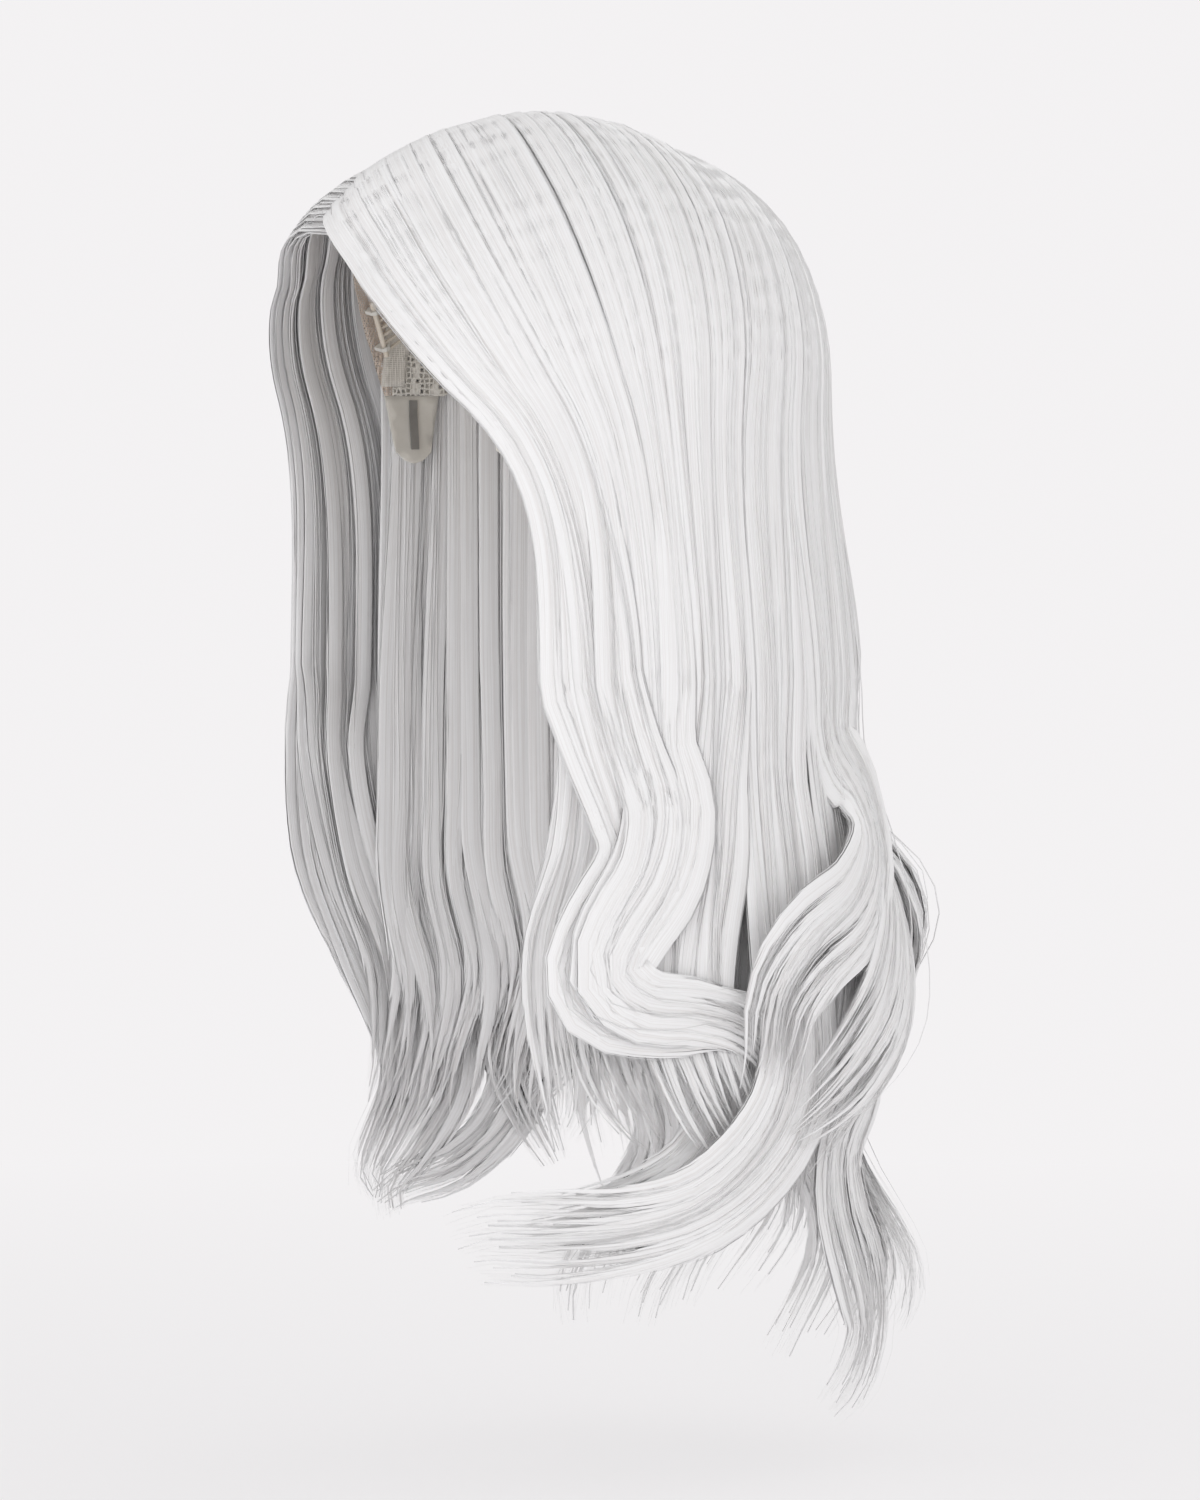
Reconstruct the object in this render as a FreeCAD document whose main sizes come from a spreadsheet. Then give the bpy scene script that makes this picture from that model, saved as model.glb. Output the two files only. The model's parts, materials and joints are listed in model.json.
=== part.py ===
import FreeCAD, Part
import math
import os
import Sketcher
from FreeCAD import Matrix, Placement, Rotation, Vector

# Long costume wig, modelled as it sits on a head.
# Frame: +Z up, the face looks along -Y, the wearer's left is +X, origin in the middle of the head opening.
# The cap is a stack of thin layers on one egg-shaped head form. Every layer is that form grown by an offset.

doc = FreeCAD.newDocument("CostumeWig")
sheet = doc.addObject("Spreadsheet::Sheet", "Sizes")

SIZES = [
    ("head_half_width", 76.0, "head form, middle to side"),
    ("head_half_length", 100.0, "head form, middle to forehead"),
    ("head_height", 105.0, "head form, opening to crown"),
    ("cap_ease", 3.0, "head to the inside of the net"),
    ("net_thickness", 1.0, "stretch net of the crown"),
    ("lace_thickness", 0.6, "sheer lace of the front"),
    ("binding_thickness", 1.6, "nape band and ear tabs"),
    ("tape_thickness", 1.0, "tapes sewn inside the net"),
    ("sew_gap", 0.25, "room between sewn layers"),
    ("seam_top", -36.0, "ear-to-ear seam, how far back at the top"),
    ("seam_foot", -46.0, "ear-to-ear seam, how far back at the ears"),
    ("hairline_height", 62.0, "front edge of the lace above the opening"),
    ("hairline_corner", -80.0, "where the hairline turns down to the temple"),
    ("temple_back", -64.0, "hairline at the temple, front to back"),
    ("temple_height", 30.0, "hairline at the temple, height"),
    ("ear_line", -4.0, "lower edge of the net above the ear tabs"),
    ("ear_back", 26.0, "back edge of the ear opening"),
    ("notch_radius", 22.0, "ear opening"),
    ("notch_middle", 1.0, "ear opening, front to back"),
    ("notch_height", -14.0, "ear opening, height of its middle"),
    ("tab_front", -50.0, "ear tab, front edge"),
    ("tab_back", -22.0, "ear tab, back edge"),
    ("tab_depth", 30.0, "ear tab, height"),
    ("tab_taper", 5.0, "ear tab, narrowing on each side"),
    ("stay_width", 4.0, "bendable stay in the ear tab"),
    ("stay_length", 22.0, "bendable stay in the ear tab"),
    ("nape_top", -44.0, "upper edge of the nape band"),
    ("nape_depth", 18.0, "height of the nape band"),
    ("seam_tape_width", 12.0, "tape along the ear-to-ear seam"),
    ("rib_width", 9.0, "tapes down the back"),
    ("rib_start", 34.0, "side tapes start this far from the middle"),
    ("rib_angle", 52.0, "side tapes, turned from straight back"),
    ("track_thickness", 1.8, "sewn head of a weft"),
    ("track_height", 3.5, "sewn head of a weft"),
    ("track_pitch", 14.5, "weft to weft"),
    ("track_lowest", -6.0, "lowest weft, height above the ears"),
    ("track_fall", 0.32, "fall of a weft for each unit of way back"),
    ("strip_thickness", 0.8, "skin strip under the parting"),
    ("strip_width", 26.0, "skin strip under the parting"),
    ("parting_side", -8.0, "parting, to the right of the middle"),
    ("parting_front", -74.0, "parting, front end"),
    ("parting_crown", 18.0, "parting, crown end"),
    ("comb_length", 28.0, "comb, along its spine"),
    ("comb_spine", 1.2, "comb, radius of its spine"),
    ("tooth_length", 17.0, "comb tooth"),
    ("tooth_width", 1.3, "comb tooth"),
    ("tooth_thickness", 1.1, "comb tooth"),
    ("tooth_pitch", 3.8, "comb tooth to tooth"),
    ("keeper_wall", 1.1, "loop that holds a comb's spine"),
    ("keeper_width", 1.7, "loop that holds a comb's spine"),
    ("keeper_gap", 0.3, "room round a comb's spine"),
    ("strap_height", 7.0, "elastic adjuster strap"),
    ("strap_thickness", 1.2, "elastic adjuster strap"),
    ("strap_low", -57.0, "lower edge of the straps"),
    ("slide_gap", 0.3, "room round a strap in its casing"),
    ("casing_wall", 0.8, "casing of a strap"),
    ("loop_height", 1.0, "hook loops, above their tape"),
    ("loop_width", 0.9, "hook loops"),
    ("loop_pitch", 4.0, "hook loop to hook loop"),
    ("hook_length", 7.0, "hook, along the strap"),
    ("hook_bar", 1.4, "hook, width of its bars"),
    ("weft_hair_thickness", 8.0, "hair of the wefts"),
    ("top_hair_thickness", 9.0, "hair from the parting"),
    ("root_thickness", 3.5, "hair at the parting"),
    ("weft_hair_gap", 0.45, "wefts to the hair that they carry"),
    ("hair_gap", 2.0, "room between the hair layers"),
    ("lock_gap", 1.6, "room between neighbouring locks"),
    ("back_fullness", 1.2, "hair layers, deeper at the back than at the side"),
    ("ring_left", 122.0, "left front edge of the hair, turned from straight back"),
    ("ring_right", -140.0, "right front edge of the hair, turned from straight back"),
    ("flare", 9.0, "how far the hair stands out lower down"),
    ("curl_start", 165.0, "the curls start this far below the opening"),
    ("curl_length", 165.0, "one wave of a curl"),
    ("curl_depth", 13.0, "wave, outwards"),
    ("curl_sway", 18.0, "wave, to the side"),
    ("right_sway", 28.0, "how far the right front swings back"),
]
for row, (alias, value, note) in enumerate(SIZES, 1):
    sheet.set(f"A{row}", note)
    sheet.set(f"B{row}", str(value))
    sheet.setAlias(f"B{row}", alias)
doc.recompute()


def size(alias):
    """The value of one cell of the sheet."""
    return float(sheet.get(alias))


def evaluate(expression):
    """The value of an expression on the sheet."""
    found = sheet.evalExpression(expression)
    return float(getattr(found, "Value", found))


def cell(alias):
    """The name of one cell, as an expression writes it."""
    return f"Sizes.{alias}"


BANDS = 10
FACETS = 36
FACET_DEPTH = 1.2
LOWEST_BAND = -48
TRACKS = 7
NAPE_TRACKS = 2
TEETH = 7
KEEPER_TOOTH = 2.5
SIDES = 8
LOOPS = 4
WHORL_ANGLE = 60.0
WHORL_RADIUS = 9.0
PART_HALF_GAP = 2.5
HALF_WIDTH, HALF_LENGTH, HEIGHT = size("head_half_width"), size("head_half_length"), size("head_height")
REACH = f"({cell('head_half_length')} + 80)"

net_in = size("cap_ease")
net_out = net_in + size("net_thickness")
tape_out = net_in - size("sew_gap")
track_in = net_out + size("sew_gap")
track_out = track_in + size("track_thickness")
strip_out = track_in + size("strip_thickness")
weft_out = track_out + size("weft_hair_gap") + size("weft_hair_thickness")


# Layers of the cap


def egg_shape(offset):
    """The head form grown by an offset: level rings from below the ears up to the crown, joined by flat facets.
    All offsets have their facets in the same directions, so layers keep their distance."""
    rings = []
    for number in range(BANDS):
        rise = math.radians(LOWEST_BAND + number * (90 - LOWEST_BAND) / BANDS)
        ring = []
        for side in range(FACETS):
            turn = 2 * math.pi * (side + 0.5) / FACETS
            ring.append(Vector(
                (HALF_WIDTH + offset) * math.cos(rise) * math.sin(turn),
                (HALF_LENGTH + offset) * math.cos(rise) * math.cos(turn),
                (HEIGHT + offset) * math.sin(rise),
            ))
        rings.append(ring)
    top = Vector(0, 0, HEIGHT + offset)
    outlines = [rings[0]]
    for side in range(FACETS):
        beside = (side + 1) % FACETS
        for lower, upper in zip(rings, rings[1:]):
            outlines.append([lower[side], lower[beside], upper[beside], upper[side]])
        outlines.append([rings[-1][side], rings[-1][beside], top])
    return Part.Solid(Part.makeShell([Part.Face(Part.makePolygon(o + o[:1])) for o in outlines]))


def egg(name, offset):
    """The head form grown by an offset, as an object of the document."""
    form = doc.addObject("Part::Feature", name)
    form.Shape = egg_shape(offset)
    return form


def layer(name, inner, outer):
    """A thin shell that follows the head, between two offsets."""
    shell = doc.addObject("Part::Cut", name)
    shell.Base = egg(name + "_outside", outer)
    shell.Tool = egg(name + "_inside", inner)
    return shell


def bow(start, through, end, count=3):
    """Corners along a soft curve that leaves for one corner and ends at another, as pairs of expressions."""
    found = []
    for number in range(1, count + 1):
        share = number / (count + 1)
        parts = ((1 - share) ** 2, 2 * share * (1 - share), share ** 2)
        found.append(tuple(
            " + ".join(f"{part:.4f} * ({corner[i]})" for part, corner in zip(parts, (start, through, end)))
            for i in (0, 1)
        ))
    return found


def outline(name, corners, across=False):
    """A closed outline, pushed right through the cap.
    A corner is a pair of expressions: way back and height in the side view, or side and way back from above."""
    sketch = doc.addObject("Sketcher::SketchObject", name + "_outline")
    if not across:
        sketch.Placement = Placement(Vector(), Rotation(Vector(0, 1, 0), Vector(0, 0, 1), Vector(1, 0, 0)))
    spots = [Vector(evaluate(x), evaluate(y), 0) for x, y in corners]
    count = len(corners)
    for i in range(count):
        sketch.addGeometry(Part.LineSegment(spots[i], spots[(i + 1) % count]))
    for i in range(count):
        sketch.addConstraint(Sketcher.Constraint("Coincident", i, 2, (i + 1) % count, 1))
    for i, corner in enumerate(corners):
        for kind, expression in (("DistanceX", corner[0]), ("DistanceY", corner[1])):
            at = sketch.addConstraint(Sketcher.Constraint(kind, -1, 1, i, 1, evaluate(expression)))
            sketch.setExpression(f"Constraints[{at}]", expression)
    push = doc.addObject("Part::Extrusion", name)
    push.Base = sketch
    push.DirMode = "Normal"
    push.setExpression("LengthFwd", f"2 * {REACH}")
    push.Symmetric = True
    push.Solid = True
    return push


def common(name, first, *others):
    """What all the shapes share: one sub-part of the cap."""
    for number, other in enumerate(others, 1):
        last = number == len(others)
        part = doc.addObject("Part::Common", name if last else f"{name}_step_{number}")
        part.Base, part.Tool = first, other
        part.Refine = False
        first = part
    return part


def side_box(name, sign):
    """A box that holds one side of the head: the wearer's left is +1."""
    box = doc.addObject("Part::Box", name)
    for edge in ("Length", "Width", "Height"):
        box.setExpression(edge, f"2 * {REACH}")
    box.setExpression("Placement.Base.x", "0" if sign > 0 else f"-2 * {REACH}")
    box.setExpression("Placement.Base.y", f"-{REACH}")
    box.setExpression("Placement.Base.z", f"-{REACH}")
    return box


def build_cap():
    """Lace front, net, bands, tabs, stays and tapes. Returns the sub-parts by name."""
    seam_top, seam_foot, ear_line = cell("seam_top"), cell("seam_foot"), cell("ear_line")
    nape_top, ear_back = cell("nape_top"), cell("ear_back")
    net = layer("net_layer", net_in, net_out)
    lace = layer("lace_layer", net_in, net_in + size("lace_thickness"))
    binding = layer("binding_layer", net_in, net_in + size("binding_thickness"))
    tape = layer("tape_layer", tape_out - size("tape_thickness"), tape_out)
    track = layer("track_layer", track_in, track_out)
    strip = layer("strip_layer", track_in, strip_out)
    left, right = side_box("left_side", 1), side_box("right_side", -1)

    temple = (cell("temple_back"), cell("temple_height"))
    front = outline("lace_zone", [
        (seam_top, REACH),
        (f"-{REACH}", REACH),
        (f"-{REACH}", cell("hairline_height")),
        (cell("hairline_corner"), cell("hairline_height")),
        *bow((cell("hairline_corner"), cell("hairline_height")), temple, (cell("tab_front"), ear_line)),
        (cell("tab_front"), ear_line),
        (seam_foot, ear_line),
    ])
    crown = outline("crown_zone", [
        (REACH, REACH),
        (seam_top, REACH),
        (seam_foot, ear_line),
        (ear_back, ear_line),
        (ear_back, nape_top),
        (REACH, nape_top),
    ])
    notch = doc.addObject("Part::Cylinder", "ear_notch")
    notch.setExpression("Radius", cell("notch_radius"))
    notch.setExpression("Height", f"2 * {REACH}")
    notch.Placement = Placement(Vector(-1, 0, 0), Rotation(Vector(0, 1, 0), 90))
    notch.setExpression("Placement.Base.x", f"-{REACH}")
    notch.setExpression("Placement.Base.y", cell("notch_middle"))
    notch.setExpression("Placement.Base.z", cell("notch_height"))
    open_crown = doc.addObject("Part::Cut", "crown_zone_open")
    open_crown.Base, open_crown.Tool = crown, notch
    nape_foot = f"({nape_top} - {cell('nape_depth')})"
    nape = outline("nape_zone", [
        (REACH, nape_top),
        (ear_back, nape_top),
        *bow((ear_back, nape_top), (f"{ear_back} + 2", nape_foot), (f"{ear_back} + 18", nape_foot)),
        (f"{ear_back} + 18", nape_foot),
        (REACH, nape_foot),
    ])
    tab_foot = f"({ear_line} - {cell('tab_depth')})"
    tab_middle = f"({cell('tab_front')} + {cell('tab_back')}) / 2"
    fore_corner = (f"{cell('tab_front')} + {cell('tab_taper')}", f"{tab_foot} + {cell('tab_taper')}")
    back_corner = (f"{cell('tab_back')} - {cell('tab_taper')}", f"{tab_foot} + {cell('tab_taper')}")
    tab = outline("tab_zone", [
        (cell("tab_back"), ear_line),
        (cell("tab_front"), ear_line),
        fore_corner,
        *bow(fore_corner, (tab_middle, f"{tab_foot} - {cell('tab_taper')}"), back_corner),
        back_corner,
    ])
    stay_top = f"({ear_line} - 2)"
    stay = outline("stay_zone", [
        (f"{tab_middle} + {cell('stay_width')} / 2", stay_top),
        (f"{tab_middle} - {cell('stay_width')} / 2", stay_top),
        (f"{tab_middle} - {cell('stay_width')} / 2", f"{stay_top} - {cell('stay_length')}"),
        (f"{tab_middle} + {cell('stay_width')} / 2", f"{stay_top} - {cell('stay_length')}"),
    ])
    half_tape = f"{cell('seam_tape_width')} / 2"
    seam = outline("seam_tape_zone", [
        (f"{seam_top} + {half_tape}", REACH),
        (f"{seam_top} - {half_tape}", REACH),
        (f"{seam_foot} - {half_tape}", f"{ear_line} + 4"),
        (f"{seam_foot} + {half_tape}", f"{ear_line} + 4"),
    ])
    crown_end = f"({cell('parting_crown')} + {WHORL_RADIUS} + 3)"
    strip_edges = [f"{cell('parting_side')} {sign} {cell('strip_width')} / 2" for sign in "+-"]
    round_end = [(edge, f"{crown_end} - {cell('strip_width')} / 3") for edge in strip_edges]
    strip_zone = outline("strip_zone", [
        (strip_edges[0], f"{cell('parting_front')} - 4"),
        (strip_edges[1], f"{cell('parting_front')} - 4"),
        round_end[1],
        *bow(round_end[1], (cell("parting_side"), f"{crown_end} + {cell('strip_width')} / 3"), round_end[0]),
        round_end[0],
    ], across=True)
    parts = {
        "lace_front": common("lace_front", lace, front),
        "crown_net": common("crown_net", net, open_crown),
        "nape_band": common("nape_band", binding, nape),
        "ear_tab_left": common("ear_tab_left", binding, tab, left),
        "ear_tab_right": common("ear_tab_right", binding, tab, right),
        "ear_stay_left": common("ear_stay_left", tape, stay, left),
        "ear_stay_right": common("ear_stay_right", tape, stay, right),
        "seam_tape": common("seam_tape", tape, seam),
    }
    upper = doc.addObject("Part::Box", "upper_side")
    for edge in ("Length", "Width", "Height"):
        upper.setExpression(edge, f"2 * {REACH}")
    upper.setExpression("Placement.Base.x", f"-{REACH}")
    upper.setExpression("Placement.Base.y", f"-{REACH}")
    parts["parting_strip"] = common("parting_strip", strip, strip_zone, upper)

    for side, turn in (("center", None), ("left", 1), ("right", -1)):
        half = f"{cell('rib_width')} / 2"
        if turn is None:
            start = f"{seam_top} + {half_tape} + 2"
            corners = [(half, REACH), (f"-{half}", REACH), (f"-{half}", start), (half, start)]
        else:
            sine, cosine = f"{turn} * sin({cell('rib_angle')})", f"cos({cell('rib_angle')})"
            corners = []
            for way, edge in ((REACH, 1), (REACH, -1), (cell("rib_start"), -1), (cell("rib_start"), 1)):
                corners.append((
                    f"{way} * {sine} + {edge} * {half} * {cosine}",
                    f"{way} * {cosine} - {edge} * {half} * {sine}",
                ))
        rib = outline(f"rib_{side}_zone", corners, across=True)
        parts[f"rib_{side}"] = common(f"rib_{side}", tape, open_crown, rib)

    for number in range(TRACKS):
        rise = f"({cell('track_lowest')} + {number} * {cell('track_pitch')})"
        start = f"({cell('ear_back')} + 2)" if number < NAPE_TRACKS else f"(-{REACH})"
        corners = []
        for way, drop in ((REACH, "0"), (start, "0"), (start, cell("track_height")), (REACH, cell("track_height"))):
            corners.append((way, f"{rise} - {way} * {cell('track_fall')} - {drop}"))
        name = f"weft_track_{number + 1}"
        parts[name] = common(name, track, outline(f"{name}_zone", corners), open_crown)
    return parts


# Combs, sewn in by loops round their spines


def on_form(way, offset):
    """The point of the head form in a direction of its unit ball, moved out by an offset."""
    return Vector((HALF_WIDTH + offset) * way.x, (HALF_LENGTH + offset) * way.y, (HEIGHT + offset) * way.z)


def outward(way, offset):
    """The square direction out of the head form there."""
    normal = Vector(
        way.x / (HALF_WIDTH + offset), way.y / (HALF_LENGTH + offset), way.z / (HEIGHT + offset)
    )
    return normal.normalize()


def comb_frame(way, teeth_way):
    """Where a comb lies: its X along the spine, its Z along the teeth, its Y out of the head."""
    normal = outward(way, net_in)
    teeth = (teeth_way - normal * teeth_way.dot(normal)).normalize()
    spine = normal.cross(teeth)
    reach = size("comb_length") / 2
    flattest = min(HALF_WIDTH ** 2 / HALF_LENGTH, HALF_LENGTH)
    bend = reach ** 2 / 2 / (flattest if abs(normal.x) < 0.5 else HALF_LENGTH)
    bend += size("tooth_length") ** 2 / 8 / HALF_WIDTH
    under_tape = size("sew_gap") * 2 + size("tape_thickness")
    depth = size("comb_spine") + under_tape + bend + FACET_DEPTH
    middle = on_form(way, net_in) - normal * depth
    foot = middle - teeth * (size("tooth_length") / 2)
    turn = Rotation(Matrix(
        spine.x, normal.x, teeth.x, 0,
        spine.y, normal.y, teeth.y, 0,
        spine.z, normal.z, teeth.z, 0,
        0, 0, 0, 1,
    ))
    return Placement(foot, turn)


def polygon(radius):
    """The corners of an eight-sided bar or loop, with a level side on top."""
    turns = [math.radians(360 / SIDES * (0.5 - i) + 90) for i in range(SIDES)]
    return [(radius * math.cos(turn), radius * math.sin(turn)) for turn in turns]


def bar(radius, width, start):
    """An eight-sided bar along X."""
    corners = [Vector(start, x, y) for x, y in polygon(radius / math.cos(math.pi / SIDES))]
    return Part.Face(Part.makePolygon(corners + corners[:1])).extrude(Vector(width, 0, 0))


def build_comb(name, place):
    """One comb: a round spine with a row of tapered teeth, as one moulding."""
    body = doc.addObject("PartDesign::Body", name)
    planes = {f.Role: f for f in body.Origin.OriginFeatures}

    spine_sketch = body.newObject("Sketcher::SketchObject", name + "_spine_sketch")
    spine_sketch.AttachmentSupport = [(planes["YZ_Plane"], "")]
    spine_sketch.MapMode = "FlatFace"
    for i, (x, y) in enumerate(polygon(size("comb_spine"))):
        following = polygon(size("comb_spine"))[(i + 1) % SIDES]
        spine_sketch.addGeometry(Part.LineSegment(Vector(x, y, 0), Vector(*following, 0)))
    for i in range(SIDES):
        spine_sketch.addConstraint(Sketcher.Constraint("Coincident", i, 2, (i + 1) % SIDES, 1))
    ring = spine_sketch.addGeometry(Part.Circle(Vector(), Vector(0, 0, 1), size("comb_spine")), True)
    spine_sketch.addConstraint(Sketcher.Constraint("Coincident", ring, 3, -1, 1))
    for i in range(SIDES):
        spine_sketch.addConstraint(Sketcher.Constraint("PointOnObject", i, 1, ring))
    for i in range(SIDES - 1):
        spine_sketch.addConstraint(Sketcher.Constraint("Equal", i, i + 1))
    spine_sketch.addConstraint(Sketcher.Constraint("Horizontal", 0))
    at = spine_sketch.addConstraint(Sketcher.Constraint("Radius", ring, size("comb_spine")))
    spine_sketch.setExpression(f"Constraints[{at}]", cell("comb_spine"))
    spine = body.newObject("PartDesign::Pad", name + "_spine")
    spine.Profile = spine_sketch
    spine.Midplane = True
    spine.setExpression("Length", cell("comb_length"))

    tooth_sketch = body.newObject("Sketcher::SketchObject", name + "_tooth_sketch")
    tooth_sketch.AttachmentSupport = [(planes["XZ_Plane"], "")]
    tooth_sketch.MapMode = "FlatFace"
    half, tip, length = size("tooth_width") / 2, size("tooth_width") / 4, size("tooth_length")
    corners = [(-half, 0.0), (half, 0.0), (tip, length), (-tip, length)]
    names = [
        (f"-{cell('tooth_width')} / 2", "0"),
        (f"{cell('tooth_width')} / 2", "0"),
        (f"{cell('tooth_width')} / 4", cell("tooth_length")),
        (f"-{cell('tooth_width')} / 4", cell("tooth_length")),
    ]
    shift = f"({TEETH} - 1) / 2 * {cell('tooth_pitch')}"
    first = (TEETH - 1) / 2 * size("tooth_pitch")
    for i, (x, z) in enumerate(corners):
        following = corners[(i + 1) % 4]
        tooth_sketch.addGeometry(
            Part.LineSegment(Vector(x - first, z, 0), Vector(following[0] - first, following[1], 0))
        )
    for i in range(4):
        tooth_sketch.addConstraint(Sketcher.Constraint("Coincident", i, 2, (i + 1) % 4, 1))
    for i, (x, z) in enumerate(corners):
        at = tooth_sketch.addConstraint(Sketcher.Constraint("DistanceX", -1, 1, i, 1, x - first))
        tooth_sketch.setExpression(f"Constraints[{at}]", f"{names[i][0]} - {shift}")
        if z:
            at = tooth_sketch.addConstraint(Sketcher.Constraint("DistanceY", -1, 1, i, 1, z))
            tooth_sketch.setExpression(f"Constraints[{at}]", names[i][1])
        else:
            tooth_sketch.addConstraint(Sketcher.Constraint("PointOnObject", i, 1, -1))
    tooth = body.newObject("PartDesign::Pad", name + "_tooth")
    tooth.Profile = tooth_sketch
    tooth.Midplane = True
    tooth.setExpression("Length", cell("tooth_thickness"))
    doc.recompute()
    row = body.newObject("PartDesign::LinearPattern", name + "_teeth")
    row.Originals = [tooth]
    row.Direction = (planes["X_Axis"], [""])
    row.Occurrences = TEETH
    row.setExpression("Length", f"{TEETH - 1} * {cell('tooth_pitch')}")
    body.Tip = row
    doc.recompute()
    body.Placement = place
    return body


def build_keeper(name, place):
    """The two sewn loops of a comb, between its teeth, each with a foot that reaches the net."""
    ring_radius = size("comb_spine") + size("keeper_gap") + size("keeper_wall")
    width = size("keeper_width")
    foot_top = 12.0
    rings = []
    for sign in (-1, 1):
        start = sign * KEEPER_TOOTH * size("tooth_pitch") - width / 2
        ring = bar(ring_radius, width, start)
        foot = Part.makeBox(width, foot_top, 2 * ring_radius, Vector(start, 0, -ring_radius))
        bore = bar(size("comb_spine") + size("keeper_gap"), width + 2, start - 1)
        rings.append(ring.fuse(foot).removeSplitter().cut(bore))
    pair = Part.makeCompound(rings)
    pair.Placement = place
    feature = doc.addObject("Part::Feature", name)
    feature.Shape = Part.makeCompound(pair.common(egg_shape(tape_out)).Solids)
    return feature


# Adjuster straps at the nape, which turn about the middle of the nape's curve


def nape_curve():
    """The middle and the radius of the nape's curve, at the lower edge of the straps."""
    low = 1 - (size("strap_low") / (HEIGHT + net_in)) ** 2
    wide = (HALF_WIDTH + net_in) * math.sqrt(low)
    deep = (HALF_LENGTH + net_in) * math.sqrt(low)
    radius = wide ** 2 / deep
    return deep - FACET_DEPTH - radius, radius


def bent_plate(inner, outer, start_angle, end_angle, low, height):
    """A plate bent round the nape's middle, between two angles from straight back."""
    middle, _ = nape_curve()
    first, last = sorted((start_angle, end_angle))
    ring = Part.makeCylinder(outer, height, Vector(0, middle, low), Vector(0, 0, 1), last - first)
    hole = Part.makeCylinder(inner, height, Vector(0, middle, low), Vector(0, 0, 1), last - first)
    plate = ring.cut(hole)
    plate.rotate(Vector(0, middle, low), Vector(0, 0, 1), 90 - last)
    return plate


def build_adjuster(side, sign):
    """One strap with its hook, the casing that it runs in and the tape of loops that it hooks into."""
    _, curve = nape_curve()
    low, height = size("strap_low"), size("strap_height")
    gap, wall, thick = size("slide_gap"), size("casing_wall"), size("strap_thickness")
    to_angle = math.degrees(1 / curve)
    strap_outer = curve - size("tape_thickness") - size("loop_height") - gap
    strap_inner = strap_outer - thick
    hook_start = HOOK_ANGLE
    hook_end = hook_start + size("hook_length") * to_angle

    strap = bent_plate(strap_inner, strap_outer, sign * hook_end, sign * STRAP_END, low, height)
    hook = bent_plate(strap_inner, strap_outer, sign * hook_start, sign * hook_end, low, height)
    bar = size("hook_bar")
    window = bent_plate(
        strap_inner - 1, strap_outer + 1,
        sign * (hook_start + bar * to_angle), sign * (hook_end - bar * to_angle),
        low + bar, height - 2 * bar,
    )
    tongue = bent_plate(
        strap_inner, strap_outer,
        sign * (hook_start + bar * to_angle), sign * (hook_end - 2.2 * bar * to_angle),
        low + height / 2 - bar / 2, bar,
    )
    hook = hook.cut(window).fuse(tongue).removeSplitter()
    casing = bent_plate(
        strap_inner - gap - wall, curve, sign * CASING_START, sign * CASING_END, low - gap - wall,
        height + 2 * gap + 2 * wall,
    ).cut(bent_plate(
        strap_inner - gap, strap_outer + gap, sign * (CASING_START - 1), sign * (CASING_END + 1),
        low - gap, height + 2 * gap,
    ))
    tape = bent_plate(
        curve - size("tape_thickness"), curve, sign * TAPE_START, sign * (CASING_START - 0.6), low, height
    )
    loops = []
    for number in range(LOOPS):
        at = LOOP_ANGLE + number * size("loop_pitch") * to_angle
        half = size("loop_width") / 2 * to_angle
        loops.append(bent_plate(
            curve - size("tape_thickness") - size("loop_height"), curve - size("tape_thickness") / 2,
            sign * (at - half), sign * (at + half), low + 1, height - 2,
        ))
    tape = tape.fuse(loops).removeSplitter()
    found = {}
    for name, shape in (
        (f"elastic_strap_{side}", strap), (f"strap_hook_{side}", hook),
        (f"strap_casing_{side}", casing), (f"loop_tape_{side}", tape),
    ):
        feature = doc.addObject("Part::Feature", name)
        feature.Shape = shape
        found[name] = feature
    return found


# Hair: locks on one flow that leaves the parting, goes over the head and hangs


def smooth(share):
    """0 to 1 with soft ends."""
    share = max(0.0, min(1.0, share))
    return share * share * (3 - 2 * share)


def ball(x_share, y_share):
    """The direction of the unit ball above these shares of the half width and half length."""
    return Vector(x_share, y_share, math.sqrt(max(0.0, 1 - x_share ** 2 - y_share ** 2)))


def root_way(ring):
    """Where hair leaves the parting, for hair that ends up at a ring angle from straight back."""
    sign = 1 if ring >= 0 else -1
    limit = size("ring_left") if sign > 0 else -size("ring_right")
    side, front, crown = size("parting_side"), size("parting_front"), size("parting_crown")
    turn = abs(ring)
    if turn > WHORL_ANGLE:
        share = (turn - WHORL_ANGLE) / (limit - WHORL_ANGLE)
        x = side + sign * (WHORL_RADIUS + (PART_HALF_GAP - WHORL_RADIUS) * smooth(share * 2))
        y = crown + (front - crown) * share
    else:
        bend = math.radians(90 * turn / WHORL_ANGLE)
        x = side + sign * WHORL_RADIUS * math.sin(bend)
        y = crown + WHORL_RADIUS * math.cos(bend)
    return ball(x / HALF_WIDTH, y / HALF_LENGTH)


def ring_way(ring):
    return Vector(math.sin(math.radians(ring)), math.cos(math.radians(ring)), 0)


def over_head(ring, share):
    """The direction of a strand between its root (0) and the widest part of the head (1)."""
    start, end = root_way(ring), ring_way(ring)
    angle = math.acos(max(-1.0, min(1.0, start.dot(end))))
    return (start * math.sin((1 - share) * angle) + end * math.sin(share * angle)) * (1 / math.sin(angle))


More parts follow.
